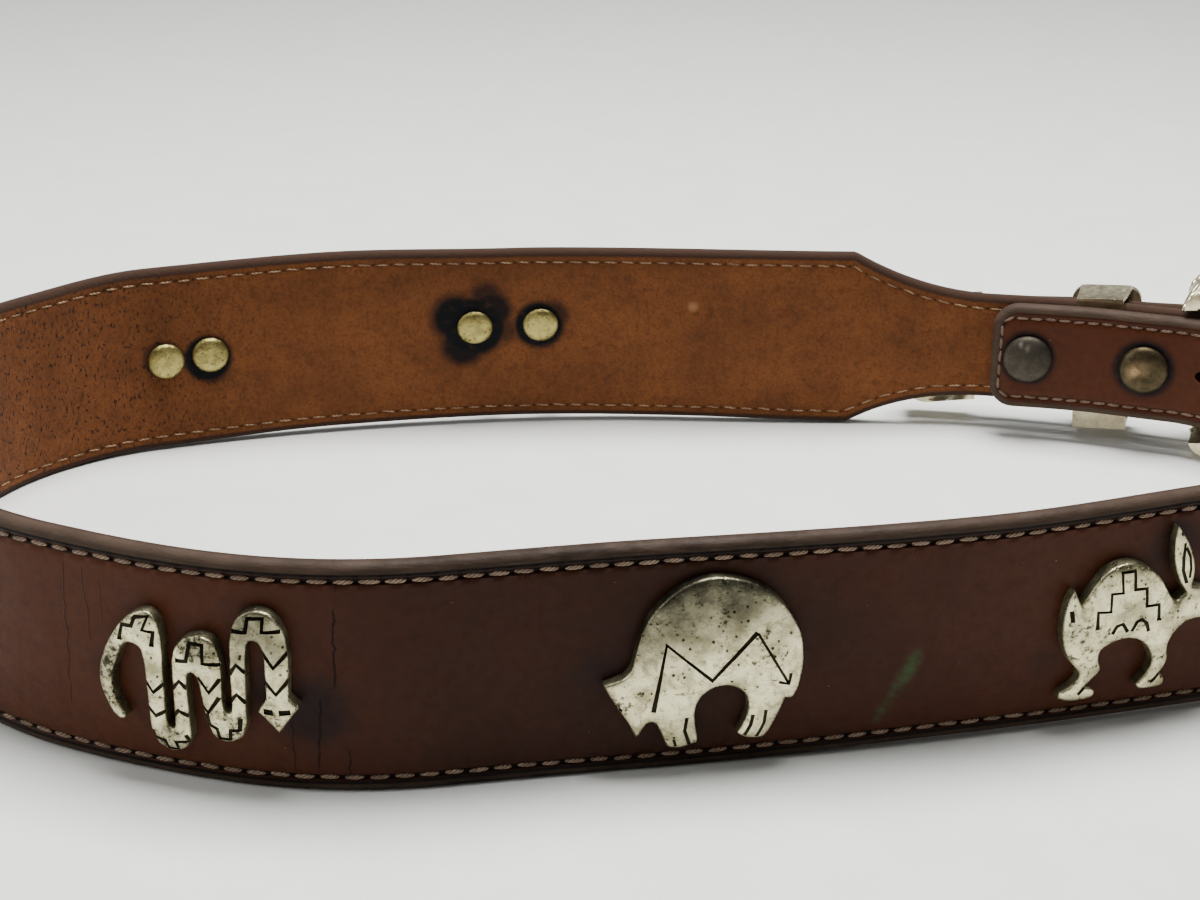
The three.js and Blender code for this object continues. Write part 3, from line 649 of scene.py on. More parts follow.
# Grain leather, oiled and worn
grainLook = {
    "dark": "26120a",
    "light": "34190d",
    "worn": "4a2614",
    "edge": "41342b",
    "edgeLow": "241b14",
    "edgeWorn": "45372d",
    # the crease tone also paints shade in the stitch channel
    "creaseAndShade": "120a07",
    "crack": "120a08",
    # painted shade in the needle holes
    "hole": "0a0605",
    # the halo round the castings and snaps is partly tarnish, partly painted shade
    "halo": "0a0a0e",
    "stain": "34482c",
    "fleck": "a58f78",
    "haloRows": [
        (410.0, 14, 2.5, 8.5, 0.75), (405, 17, 2.0, 7.0, 0.6), (399, 20, 1.0, 5.0, 0.4),
        (452, 18, 1.0, 5.5, 0.4), (387, 11, 1.0, 6.0, 0.35), (378, 17, 1.0, 4.0, 0.3),
        (541, 30, 1.5, 6.5, 0.7), (548, 30, 1.5, 6.0, 0.6), (521, 12, 1.0, 4.0, 0.3),
        (-52.5, 19.05, 5.0, 6.6, 0.95), (-28.5, 19.05, 5.1, 7.0, 1.0),
    ],
    "stainRows": [
        (500.2, 16.2, 0.1, 1.6, 0.5), (499.7, 15.0, 0.3, 1.9, 0.7), (499.1, 13.6, 0.3, 2.0, 0.75),
        (498.4, 12.2, 0.3, 2.0, 0.75), (497.7, 10.8, 0.2, 1.8, 0.65), (497.0, 9.4, 0.1, 1.6, 0.5),
        (496.2, 8.0, 0.1, 1.4, 0.4), (495.4, 6.6, 0.2, 1.5, 0.5), (494.8, 5.2, 0.1, 1.3, 0.4),
    ],
    "rubbedRows": [(290, 350, 385, 440, 0.8), (-130, -70, -5, 30, 0.75), (455, 530, 720, 760, 0.6)],
    "crackRows": [
        (413.8, 0.04, 17.5, 31.5, 0.2, 1.0), (411.0, 0.08, 3.5, 16.5, 0.16, 0.9),
        (415.1, 0.0, 1.5, 8.0, 0.16, 0.9), (414.6, 0.05, 33.2, 36.6, 0.2, 0.8),
        (417.7, -0.04, 33.4, 36.4, 0.16, 0.7), (407.1, 0.0, 2.0, 12.5, 0.13, 0.6),
        (371.6, 0.06, 8.0, 34.0, 0.22, 0.4), (375.8, -0.03, 20.0, 33.5, 0.2, 0.35),
        (378.5, 0.02, 24.0, 33.0, 0.14, 0.3), (655.0, 0.03, 10.0, 28.0, 0.2, 0.6),
    ],
}


# The strength on the tongue, and none past the bar
def tongueShare(strapUv, strength):
    return between(partsOf(strapUv)[0], -0.4, -1.2, 0.0, strength)


# The dye is rubbed away on the left of the front, round its bend, and on the tongue
def rubbedAway(strapUv, broad):
    along = plus(partsOf(strapUv)[0], times(minus(broad, 0.5), 3.0))
    total = 0.0
    for start, full, fade, end, strength in grainLook["rubbedRows"]:
        part = between(along, start / 10, full / 10, 0.0, strength)
        total = larger(times(part, between(along, end / 10, fade / 10)), total)
    return total


def grainFinish():
    look = grainLook
    finish, tree, shader = newFinish("oiledGrainLeather")
    strapUv = strapMap(tree)
    place = objectPlace(tree)
    gap = attribute(tree, "edgeGap")
    broad = noiseOn(strapUv, 0.28, 4, 0.6)
    fine = noiseOn(place, 700, 5, 0.65)
    color = blended(between(broad, 0.3, 0.7), look["dark"], look["light"])
    rubbed = rubbedAway(strapUv, broad)
    color = blended(rubbed, color, look["worn"])
    color = blended(between(fine, 0.35, 0.75, 0.0, 0.3), color, look["creaseAndShade"])
    ragged = noiseOn(strapUv, 3.2, 4, 0.65)
    # Dark halos round the castings and snaps: partly tarnish, partly painted shade
    halo = times(patches(strapUv, look["haloRows"]), between(ragged, 0.25, 0.6, 0.7, 1.0))
    color = blended(halo, color, look["halo"])
    stain = times(patches(strapUv, look["stainRows"]), between(ragged, 0.35, 0.55, 0.4, 1.0))
    color = blended(stain, color, look["stain"])
    crack = cracks(strapUv, look["crackRows"])
    color = blended(times(crack, 0.85), color, look["crack"])
    # Pale flecks and rubs
    flecks = between(noiseOn(mapped(strapUv, (1, 2.4, 1)), 8, 2), 0.73, 0.78, 0.0, 0.5)
    rare = between(noiseOn(strapUv, 0.9, 2), 0.5, 0.62)
    color = blended(times(flecks, rare), color, look["fleck"])
    # Painted shade in the stitch channel and its needle holes, then the crease and the burnished edge
    off, needle = seamMarks(tree)
    shown = minus(1.0, tongueShare(strapUv, 0.7))
    color = blended(times(between(off, 0.62, 0.4, 0.0, 0.35), shown), color, look["creaseAndShade"])
    slit = times(between(off, 0.5, 0.3, 0.0, 0.95), shown)
    color = blended(times(between(needle, 0.88, 0.97), slit), color, look["hole"])
    color = blended(times(between(gap, 2.2, 1.95), shown), color, look["creaseAndShade"])
    worn = noiseOn(mapped(strapUv, (0.45, 2, 1)), 3, 5, 0.7)
    edgeColor = blended(between(worn, 0.3, 0.75), look["edgeLow"], look["edge"])
    edgeColor = blended(times(rubbed, 0.6), edgeColor, look["edgeWorn"])
    setInput(shader["Base Color"], blended(between(gap, 1.6, 1.3), color, edgeColor))
    rough = between(noiseOn(strapUv, 2.5, 5, 0.7), 0.3, 0.7, 0.42, 0.56)
    setInput(shader["Roughness"], plus(rough, between(gap, 1.9, 1.4, 0.0, 0.12)))
    lift = plus(times(cellsOn(place, 2400), 0.5), times(fine, 0.6))
    normal = bumped(lift, 0.22, 0.00012)
    normal = bumped(times(crack, -1.0), 0.8, 0.0003, normal)
    normal = bumped(times(worn, between(gap, 1.9, 1.5)), 0.5, 0.0005, normal)
    setInput(shader["Normal"], normal)
    shader["Specular IOR Level"].default_value = 0.09
    return finish


suedeLook = {
    "base": "5d371e",
    "light": "714425",
    "dark": "351f11",
    "edge": "33231a",
    "fleck": "20130a",
    # painted shade in the needle holes
    "hole": "1c100a",
    "scuff": "b08a64",
    "halo": "0a0d10",
    "haloRows": [
        (157.6, 21.3, 5.6, 8.0, 1.0), (161.2, 23.4, 3.6, 7.0, 1.0), (160.0, 17.0, 3.0, 6.0, 0.95),
        (154.0, 24.8, 3.0, 5.8, 0.95), (151.5, 20.4, 1.4, 4.8, 0.7), (155.0, 28.0, 1.8, 4.6, 0.8),
        (143.9, 21.4, 4.4, 6.2, 1.0), (141.0, 23.5, 2.0, 4.6, 0.8),
        (212.5, 18.4, 4.2, 5.6, 1.0), (211.8, 16.5, 2.5, 4.5, 0.8),
        (221.8, 19.3, 3.4, 4.4, 0.5), (268.9, 20.6, 4.0, 6.0, 0.8), (282.3, 20.6, 4.0, 6.5, 0.8),
        (327.2, 20.9, 3.5, 6.0, 0.8), (341, 20.6, 3.5, 6.0, 0.7), (387.6, 19.2, 3.5, 6.0, 0.8),
        (396.6, 18.9, 3.5, 6.0, 0.8), (460.4, 20.6, 4.0, 6.5, 0.9), (473.8, 20.6, 3.5, 6.0, 0.8),
        (529.2, 20.9, 3.5, 6.0, 0.8), (543, 20.6, 3.5, 6.0, 0.8),
    ],
    "scuffRows": [(111.6, 25.8, 0.2, 1.6, 0.35)],
}


def suedeFinish():
    look = suedeLook
    finish, tree, shader = newFinish("napSuede")
    strapUv = strapMap(tree)
    broad = noiseOn(strapUv, 0.7, 5, 0.65)
    color = blended(between(broad, 0.3, 0.7), look["base"], look["light"])
    mottle = noiseOn(mapped(strapUv, (1, 0.7, 1)), 5.5, 5, 0.7)
    color = blended(between(mottle, 0.45, 0.8, 0.0, 0.6), color, look["dark"])
    nap = noiseOn(objectPlace(tree), 1500, 4, 0.7)
    color = blended(between(nap, 0.4, 0.75, 0.0, 0.5), color, look["dark"])
    # The flesh side is coarse on the left
    flecks = noiseOn(mapped(strapUv, (2.0, 1.0, 1)), 8, 3, 0.6, 0.4)
    coarse = between(partsOf(strapUv)[0], 19.0, 23.5, 0.15, 1.0)
    fleck = times(between(flecks, 0.56, 0.64), coarse)
    color = blended(times(fleck, 0.85), color, look["fleck"])
    color = blended(patches(strapUv, look["scuffRows"]), color, look["scuff"])
    ragged = noiseOn(strapUv, 4.5, 5, 0.7)
    halo = times(patches(strapUv, look["haloRows"]), between(ragged, 0.25, 0.5, 0.8, 1.0))
    color = blended(halo, color, look["halo"])
    # Painted shade in the stitch channel and its needle holes
    off, needle = seamMarks(tree)
    color = blended(between(off, 0.55, 0.2, 0.0, 0.15), color, look["dark"])
    hole = times(between(needle, 0.94, 0.995), between(off, 0.35, 0.2, 0.0, 0.6))
    color = blended(hole, color, look["hole"])
    wander = plus(attribute(tree, "edgeGap"), times(mottle, 0.8))
    setInput(shader["Base Color"], blended(between(wander, 2.1, 1.5), color, look["edge"]))
    shader["Roughness"].default_value = 0.92
    shader["Specular IOR Level"].default_value = 0.1
    shader["Sheen Weight"].default_value = 0.06
    shader["Sheen Roughness"].default_value = 0.5
    lift = minus(plus(nap, times(mottle, 0.8)), times(fleck, 0.7))
    setInput(shader["Normal"], bumped(lift, 0.6, 0.0003))
    return finish


# Ornament figures, drawn as seen from outside: x along the strap from the figure's middle, y above
# the strap's lower edge. Each run is straight or smooth. The dome has its rise, middle and reach.
# Tarnished spots, and dulled spots that are painted dark reflection and shade with some tarnish, are rows
# of x, y, where they start to fade, where they end, and strength. Grooves are rows of half width and
# points.
figures = {
    "snake": {
        "start": (-12.0, 10.0),
        "runs": [
            ("smooth", [(-13.4, 11.4), (-14.8, 15.4), (-14.3, 19.5), (-12.2, 24), (-9.2, 27.8),
                        (-6.2, 29.4), (-4.4, 28.2), (-3.8, 25)]),
            ("straight", [(-4.3, 11.6)]),
            ("smooth", [(-4.1, 10.5), (-3.5, 10.1), (-3, 10.6), (-2.8, 11.8)]),
            ("straight", [(-2.4, 22)]),
            ("smooth", [(-1.8, 24), (-0.4, 25.7), (2, 26.6), (4.2, 25.7), (5.1, 22.6)]),
            ("straight", [(4.8, 15.6)]),
            ("smooth", [(5, 14.5), (5.5, 14.1), (6, 14.6), (6.2, 15.8)]),
            ("straight", [(6.5, 26)]),
            ("smooth", [(7.4, 29.4), (9, 31.1), (10.9, 31.6), (13, 30.7), (14.4, 27.9), (14.8, 24)]),
            ("straight", [(14.4, 17.6), (15.8, 15.9), (12.7, 11.5), (9.9, 15), (11.2, 17.2), (11.3, 23.6)]),
            ("smooth", [(11, 25.7), (10.1, 26.7), (9.1, 26), (8.7, 23.6)]),
            ("straight", [(8.1, 12.4)]),
            ("smooth", [(7.2, 10.2), (5.2, 9.2), (3.1, 10), (2.2, 12.6)]),
            ("straight", [(1.6, 18.4)]),
            ("smooth", [(1.2, 19.8), (0.5, 20.3), (-0.2, 19.7), (-0.4, 18.4)]),
            ("straight", [(-0.5, 9)]),
            ("smooth", [(-1.6, 7), (-3.8, 6.2), (-5.9, 7.2), (-6.9, 9.6)]),
            ("straight", [(-6.9, 21.4)]),
            ("smooth", [(-7.3, 23), (-8.4, 23.6), (-10, 23.2), (-11.5, 20.5), (-12.7, 16.6),
                        (-12.4, 13.4), (-11.3, 11), (-11.3, 10.3), (-12, 10)]),
        ],
        "rivets": [(-5.4, 19.5), (3.6, 19.2)],
        "dome": (0.35, 0.3, 19.0, 17.0, 16.0),
        "tarnish": [
            (-13.0, 23.5, 1.6, 4.2, 0.85), (-13.9, 19.0, 1.6, 3.6, 1.0), (-13.2, 14.0, 1.0, 3.6, 0.75),
            (-9.0, 27.6, 0.6, 2.8, 0.6), (1.0, 24.4, 1.2, 2.8, 0.9), (3.6, 23.6, 0.4, 2.2, 0.6),
            (-5.4, 8.2, 1.0, 3.2, 0.7), (-2.4, 8.6, 0.6, 2.6, 0.7), (-1.6, 13.4, 0.4, 2.0, 0.6),
            (3.6, 13.6, 0.6, 2.4, 0.7), (6.8, 12.6, 0.8, 2.8, 0.7), (0.4, 20.6, 0.4, 2.4, 0.45),
            (7.4, 17.6, 0.4, 2.2, 0.6), (12.6, 14.0, 0.6, 2.6, 0.5), (-5.6, 15.4, 0.4, 2.4, 0.4),
        ],
        "dulledAndShaded": [
            (9.6, 28.6, 2.4, 5.4, 0.8), (12.6, 25.4, 0.8, 3.8, 0.7), (7.6, 23.6, 0.4, 3.4, 0.6),
            (-13.6, 20.0, 1.5, 5.0, 0.5), (2.0, 24.0, 1.0, 3.6, 0.5), (-4.0, 8.0, 1.0, 4.4, 0.45),
        ],
        "grooves": [
            (0.26, [(-10.4, 24), (-9.8, 26.6), (-8.1, 26.8), (-7.5, 28.3), (-5.4, 28.7), (-6.3, 26.5),
                    (-4.7, 26.3), (-5.1, 23.9)]),
            (0.26, [(-7.1, 18.2), (-5.6, 16.2), (-3.7, 18.0)]),
            (0.26, [(-7.1, 13.5), (-5.6, 12.2), (-4.0, 13.1)]),
            (0.26, [(-6.6, 9.4), (-6.2, 8.3), (-4.5, 8.2), (-4.2, 6.8), (-2.6, 6.7), (-2.8, 8.2),
                    (-0.7, 8.4), (-1.2, 9.6)]),
            (0.26, [(-2.9, 12.5), (-1.8, 13.8), (-0.2, 12.7)]),
            (0.26, [(-2.7, 17.1), (-1.3, 18.8), (-0.3, 17.5)]),
            (0.26, [(-1.6, 22.3), (0.2, 22.5), (0.9, 25.5), (2.8, 25.4), (2.7, 22.5), (5.1, 22.4)]),
            (0.26, [(1.6, 19.9), (3.2, 17.7), (4.9, 20.0)]),
            (0.26, [(1.9, 15.1), (2.8, 14.2), (4.6, 16.9)]),
            (0.26, [(2.5, 14), (2.7, 12), (3.9, 11.6), (4.1, 9.9), (5.7, 9.9), (5.9, 11.6), (7.2, 11.7),
                    (7.4, 13.7)]),
            (0.26, [(6.1, 16.4), (7.2, 17.8), (8.5, 16.2)]),
            (0.26, [(6.3, 20.9), (7.5, 22.8), (8.8, 21.2)]),
            (0.26, [(7.1, 28.2), (9.2, 28.3), (9.6, 30.5), (11.7, 30.6), (11.5, 28.5), (14.0, 28.6)]),
            (0.26, [(11.1, 25.1), (12.7, 22.7), (14.8, 25.2)]),
            (0.26, [(11.2, 20.3), (12.8, 18.3), (14.8, 20.8)]),
            (0.34, [(10.8, 15.2), (12.2, 15.2)]),
            (0.34, [(13.0, 15.2), (14.6, 15.3)]),
        ],
    },
    "bear": {
        "start": (-14.7, 16.7),
        "runs": [
            ("straight", [(-13.9, 15), (-11, 10), (-9.9, 7.5)]),
            ("smooth", [(-9.3, 7.7), (-8.4, 9.4), (-7.5, 10), (-6.6, 9.2), (-5.2, 5.8)]),
            ("smooth", [(-4.6, 5.3), (-3, 5.2), (-1.1, 5.7), (-0.5, 6.3), (-0.8, 8.6)]),
            ("smooth", [(-1, 11.2), (-0.4, 13.6), (1.2, 15.1), (3.1, 15.6), (5, 15.1), (6.6, 13.5),
                        (7, 11), (6.4, 8.8), (5.5, 7)]),
            ("smooth", [(6.2, 6.3), (7.6, 5.8), (9.2, 5.7), (10, 6.2), (11.6, 9.6), (12.6, 12.4)]),
            ("smooth", [(13.8, 12.4), (14.7, 14.8), (15.1, 18.6), (14.7, 22.6), (13.2, 26.2),
                        (10.6, 29.8), (7, 32.3), (2, 33.5), (-2.3, 32.6), (-6.2, 29.7), (-8.8, 25.8),
                        (-9.9, 22)]),
            ("smooth", [(-10.4, 19.6), (-11.4, 18), (-13, 17.2), (-14.7, 16.7)]),
        ],
        "rivets": [(-6.6, 21.0), (6.8, 21.0)],
        "dome": (0.9, 2.0, 18.0, 17.0, 16.5),
        "tarnish": [
            (-12.4, 13.4, 0.6, 2.0, 0.9), (-10.0, 14.6, 0.4, 2.6, 0.55), (3.4, 28.0, 0.4, 2.6, 0.5),
            (-6.6, 27.4, 0.4, 3.4, 0.45), (8.6, 24.0, 0.4, 3.0, 0.45), (10.6, 20.6, 0.6, 3.6, 0.45),
            (7.0, 19.6, 0.4, 2.6, 0.4), (1.0, 30.6, 0.4, 3.0, 0.35), (-9.6, 20.2, 0.3, 2.4, 0.4),
        ],
        "dulledAndShaded": [
            (-3.0, 30.5, 2.5, 12.5, 1.0), (4.6, 31.0, 1.5, 12.0, 0.95), (-7.8, 25.0, 1.0, 9.0, 0.8),
            (10.4, 25.6, 1.0, 6.0, 0.45),
        ],
        "grooves": [
            (0.27, [(-7.3, 12.1), (-5.5, 23.4), (1.3, 17.0), (7.8, 24.5)]),
            (0.15, [(7.9, 24.3), (12.8, 15.3)]),
            (0.19, [(11.3, 15.7), (12.9, 15.1), (13.1, 17.0)]),
            (0.2, [(-2.3, 10.8), (-2.6, 8.5), (-1.7, 5.6)]),
            (0.15, [(-4.2, 7.0), (-3.8, 5.6)]),
            (0.19, [(7.7, 10.2), (7.4, 8.5), (6.5, 6.6)]),
            (0.19, [(9.6, 11), (9.4, 8.7), (8.4, 6.1)]),
            (0.3, [(-12.3, 14.5), (-11.9, 12.3)]),
        ],
    },
    "rabbit": {
        "start": (-12.2, 25.6),
        "runs": [
            ("smooth", [(-13.1, 23.6), (-13.5, 19.6), (-13, 16), (-11.7, 13.2), (-9.9, 11), (-9.7, 9.6),
                        (-11, 8.2), (-12.4, 7.3), (-12.5, 6.2)]),
            ("smooth", [(-11, 5.6), (-8.4, 5.6), (-6.9, 6), (-6.7, 7), (-7.6, 7.8), (-8.6, 8)]),
            ("smooth", [(-7.2, 9.6), (-6.3, 11), (-6.8, 12.8), (-6.6, 14.5), (-4.8, 15.7), (-2.5, 16),
                        (-0.4, 15.4), (1.3, 13.7), (2.4, 11.4), (2, 9.3), (0.4, 7.1)]),
            ("smooth", [(0.9, 6.2), (3, 6.1), (4.9, 6.3), (5.2, 7.5), (4.2, 8.6)]),
            ("smooth", [(5.1, 11), (4.8, 13.8), (5.9, 16), (7.4, 17.4)]),
            ("smooth", [(9.6, 17.6), (12.4, 17.1), (14.1, 18.3), (13, 20.9), (10.6, 22.7), (7.7, 23.5)]),
            ("smooth", [(7.9, 26.6), (6.6, 30.6), (4.3, 34)]),
            ("smooth", [(3.9, 31.4), (4.3, 27.8), (5.3, 25), (6.8, 22.6)]),
            ("smooth", [(5.4, 21.4), (4.2, 22.4), (2, 25.8), (-0.8, 28.2), (-4, 29.2), (-7.3, 28.1),
                        (-9.6, 25), (-10.8, 22.8)]),
            ("smooth", [(-11.4, 24), (-12.2, 25.6)]),
        ],
        "rivets": [(-6.8, 21.3), (7, 21.0)],
        "dome": (0.6, -2.0, 19.0, 15.0, 15.0),
        "tarnish": [
            (-11.0, 18.4, 1.2, 3.8, 0.7), (-9.6, 15.2, 0.8, 3.6, 0.65), (-8.4, 12.6, 0.6, 3.0, 0.55),
            (-7.6, 17.6, 0.6, 3.0, 0.5), (-10.2, 8.6, 0.4, 2.4, 0.55), (-12.4, 23.4, 0.3, 1.8, 0.6),
            (-0.8, 18.6, 0.6, 1.8, 0.85), (-4.4, 18.4, 0.4, 1.6, 0.5), (3.6, 19.4, 0.2, 1.6, 0.5),
            (3.4, 11.6, 0.4, 2.6, 0.45), (4.6, 29.5, 0.3, 2.0, 0.4), (3.0, 7.0, 0.3, 2.2, 0.4),
        ],
        "dulledAndShaded": [(-3.0, 21.4, 0.8, 3.6, 0.3), (-11.4, 18.6, 0.8, 4.0, 0.3)],
        "grooves": [
            (0.24, [(-8.1, 18.6), (-8.3, 21.7), (-6.2, 21.5), (-6.4, 24.6), (-4.5, 24.5), (-5, 28),
                    (-2.9, 28), (-2.5, 24.8), (-0.5, 24.7), (-0.2, 21.6), (1.9, 21.6), (2.2, 18.7)]),
            (0.22, [(-5.5, 17.5), (-4.9, 18.8), (-3.9, 19.1), (-2.9, 17.5)]),
            (0.22, [(-2.2, 17.5), (-1.6, 19.1), (-0.8, 19.5), (0.2, 18.6), (0.7, 17.1)]),
            (0.19, [(5.5, 31.2), (5.35, 28.8), (5.6, 26.6), (6.5, 24.3)]),
            (0.19, [(5.8, 30.4), (6.6, 28.8), (6.95, 26.8), (6.85, 25.2)]),
            (0.16, [(4.9, 33.0), (4.75, 31.3)]),
            (0.22, [(2.5, 7.4), (4.3, 9.1)]),
            (0.22, [(-9.7, 7.0), (-8.8, 7.8), (-7.9, 8.8)]),
            (0.28, [(10.6, 20.6), (11.3, 20.4)]),
            (0.24, [(-12.6, 22.4), (-12.2, 20.4)]),
        ],
    },
}
ornamentPlaces = [  # name, figure, run, height above where the figure is drawn
    ("rabbit_back", "rabbit", 150.4, 0.4),
    ("snake_back", "snake", 217.4, -0.3),
    ("bear_side", "bear", 275.5, -0.4),
    ("rabbit_side", "rabbit", 334, -0.4),
    ("snake_front", "snake", 393, -0.3),
    ("bear_front", "bear", 467, -0.4),
    ("rabbit_front", "rabbit", 536, -0.4),
]
ornament = {
    "back": 1.64,
    "thickness": 2.5,
    "rimRound": 0.45,
    "rimSegments": 3,
    "shoulderWidth": 1.8,
    "shoulderDrop": 0.35,
    "outlineStep": 0.55,
    "cell": 0.8,
    "domeShare": 0.55,
    "waves": [(0.45, 0.09), (1.5, 0.045)],  # how close together, and how high
    "bounds": [((1, 0, 0), -16, 17), ((0, 1, 0), 5, 35)],  # of every figure, along each axis
    "grooveWiden": 1.45,
    "wallDirtAndShade": (0.74, -0.1, 0.4),  # how much dirt and painted shade, where it starts to fade, and over what span
    "grooveDepthShare": 0.1,
}
rivetPlaces = [
    (run + x, y + rise)
    for _, figure, run, rise in ornamentPlaces
    for x, y in figures[figure]["rivets"]
]


# A smooth line through points, as a uniform Catmull-Rom curve
def smoothLine(points, step):
    ends = [2 * points[0] - points[1], *points, 2 * points[-1] - points[-2]]
    line = []
    for a, b, c, d in zip(ends, ends[1:], ends[2:], ends[3:]):
        count = max(2, math.ceil((c - b).length / step))
        for i in range(1, count + 1):
            u = i / count
            line.append(0.5 * (
                2 * b + (c - a) * u + (2 * a - 5 * b + 4 * c - d) * u ** 2
                + (3 * b - a - 3 * c + d) * u ** 3
            ))
    return line


def figureOutline(figure):
    line = [Vector(figure["start"])]
    for kind, points in figure["runs"]:
        points = [Vector(point) for point in points]
        if kind == "smooth":
            line += smoothLine([line[-1], *points], ornament["outlineStep"])
        else:
            line += points
    if (line[-1] - line[0]).length < 0.05:
        line.pop()
    return line


# Round tubes along the grooves, which cut them out of the face
def grooveTubes(figure):
    curve = bpy.data.curves.new("grooves", "CURVE")
    curve.dimensions = "3D"
    curve.bevel_depth = 1.0
    curve.bevel_resolution = 2
    curve.use_fill_caps = True
    for radius, points in figure["grooves"]:
        spline = curve.splines.new("POLY")
        spline.points.add(len(points) - 1)
        for spot, (x, y) in zip(spline.points, points):
            spot.co = (x, y, ornament["thickness"] + radius * ornament["grooveDepthShare"], 1)
            spot.radius = radius * ornament["grooveWiden"]
    holder = showObject("grooves", curve)
    shaped = holder.evaluated_get(bpy.context.evaluated_depsgraph_get())
    bm = bmesh.new()
    bm.from_mesh(shaped.to_mesh())
    shaped.to_mesh_clear()
    bpy.data.objects.remove(holder)
    bpy.data.curves.remove(curve)
    bmesh.ops.remove_doubles(bm, verts=bm.verts, dist=0.0001)
    bmesh.ops.recalc_face_normals(bm, faces=bm.faces)
    markFaces(bm, lambda face: 1.0)
    return bm


# How dark a face is marked: patina in grooves, dirt and painted shade on walls
def markFaces(bm, amount):
    patinaAndShade = bm.faces.layers.float.get("patinaAndShade") or bm.faces.layers.float.new("patinaAndShade")
    for face in bm.faces:
        face[patinaAndShade] = max(face[patinaAndShade], amount(face))


# Walls hold dirt and painted shade. A face is clean once its normal is past the span, towards the front.
def dirtAndShadeOnWalls(bm, front, look):
    bm.normal_update()
    dirt, start, span = look["wallDirtAndShade"]
    markFaces(bm, lambda face: dirt * (1 - ease((front * face.normal.z - start) / span)))


# How far each place is from the nearest side of a closed line
def apartFromLine(places, line):
    starts = np.array([tuple(spot) for spot in line])
    spans = np.roll(starts, -1, axis=0) - starts
    reach = places[:, None, :] - starts[None]
    share = (reach * spans).sum(2) / (spans ** 2).sum(1)
    nearest = starts + np.clip(share, 0, 1)[..., None] * spans
    return np.hypot(*np.moveaxis(places[:, None, :] - nearest, 2, 0)).min(1)


def ornamentBlank(figure):
    bm = bmesh.new()
    base = bm.faces.new([bm.verts.new((spot.x, spot.y, 0)) for spot in figureOutline(figure)])
    if base.normal.z > 0:
        base.normal_flip()
    top = bmesh.ops.extrude_face_region(bm, geom=[base], use_keep_orig=True)["geom"]
    raised = [part for part in top if isinstance(part, bmesh.types.BMVert)]
    bmesh.ops.translate(bm, vec=(0, 0, ornament["thickness"]), verts=raised)
    bmesh.ops.recalc_face_normals(bm, faces=bm.faces)
    rim = [
        edge for edge in bm.edges
        if all(vert.co.z > ornament["thickness"] - 0.01 for vert in edge.verts)
    ]
    bmesh.ops.bevel(
        bm, geom=rim, affect="EDGES", offset=ornament["rimRound"], segments=ornament["rimSegments"],
        profile=0.5, material=-1, clamp_overlap=False,
    )
    markFaces(bm, lambda face: 0.0)
    return bm


def ornamentPiece(name, figureName, run, rise, finish):
    figure = figures[figureName]
    bm = boolCut(ornamentBlank(figure), grooveTubes(figure), True)
    cell = ornament["cell"]
    for axis, low, high in ornament["bounds"]:
        place = low
        while place < high:
            bmesh.ops.bisect_plane(
                bm, geom=bm.verts[:] + bm.edges[:] + bm.faces[:],
                plane_co=Vector(axis) * place, plane_no=axis,
            )
            place += cell
    # The walls get dirt and painted shade
    dirtAndShadeOnWalls(bm, 1, ornament)
    # Dulled spots hold painted dark reflection and shade
    layers = {kind: bm.verts.layers.float.new(kind) for kind in ("tarnish", "dulledAndShaded")}
    dome, middleX, middleY, reachX, reachY = figure["dome"]
    seed = run * 0.37
    places = np.array([(vert.co.x, vert.co.y) for vert in bm.verts])
    inward = apartFromLine(places, figureOutline(figure))
    for vert, apart in zip(bm.verts, inward):
        x, y, depth = vert.co
        for kind, layer in layers.items():
            vert[layer] = max(
                strength * ease((outer - math.hypot(x - spotX, y - spotY)) / (outer - inner))
                for spotX, spotY, inner, outer, strength in figure[kind]
            )
        if depth > ornament["thickness"] * 0.5:
            swell = 1 - ((x - middleX) / reachX) ** 2 - ((y - middleY) / reachY) ** 2
            depth += dome * (swell - ornament["domeShare"])
            depth -= ornament["shoulderDrop"] * (1 - ease(apart / ornament["shoulderWidth"]))
            for scale, strength in ornament["waves"]:
                depth += strength * unevenAt(x, y, (scale, scale), seed)
        vert.co = onLeather(run + x, ornament["back"] + depth, y + rise)
    bmesh.ops.recalc_face_normals(bm, faces=bm.faces)
    newPiece(name + "_casting", meshOf(name, bm), 38, finish, name)


# Each look's dulled colour paints dark reflection and shade
metalLooks = {
    # the patina colour also paints shade on the walls
    "castPewter": {
        "base": "dcd5ad", "shade": "8d8767", "dulledAndShaded": "38362d", "patinaAndShade": "0b0a08", "shine": "ffffff",
        "rough": (0.24, 0.4), "pits": 0.92, "bump": 0.7, "scale": 420,
    },
    "rivetBrass": {
        "base": "a1965c", "shade": "73693e", "dulledAndShaded": "453b24", "patinaAndShade": "1d180d", "shine": "ffffff",
        "rough": (0.32, 0.48), "pits": 0.6, "bump": 1.0, "scale": 520,
    },
    "gunmetal": {
        "base": "48433b", "shade": "39352f", "dulledAndShaded": "2b2723", "patinaAndShade": "0b0a08", "shine": "a39c90",
        "rough": (0.55, 0.66), "pits": 0.15, "bump": 0.15, "scale": 500,
    },
    "antiqueBrass": {
        "base": "4c4331", "shade": "322c1f", "dulledAndShaded": "2b2316", "patinaAndShade": "0f0c07", "shine": "c9a67e",
        "rough": (0.42, 0.54), "pits": 0.3, "bump": 0.3, "scale": 500,
    },
    "buckleSilver": {
        "base": "dcd2b2", "shade": "b0a686", "dulledAndShaded": "5b5040", "patinaAndShade": "1a160f", "shine": "ffffff",
        "rough": (0.28, 0.42), "pits": 0.4, "bump": 0.3, "scale": 300,
    },
}
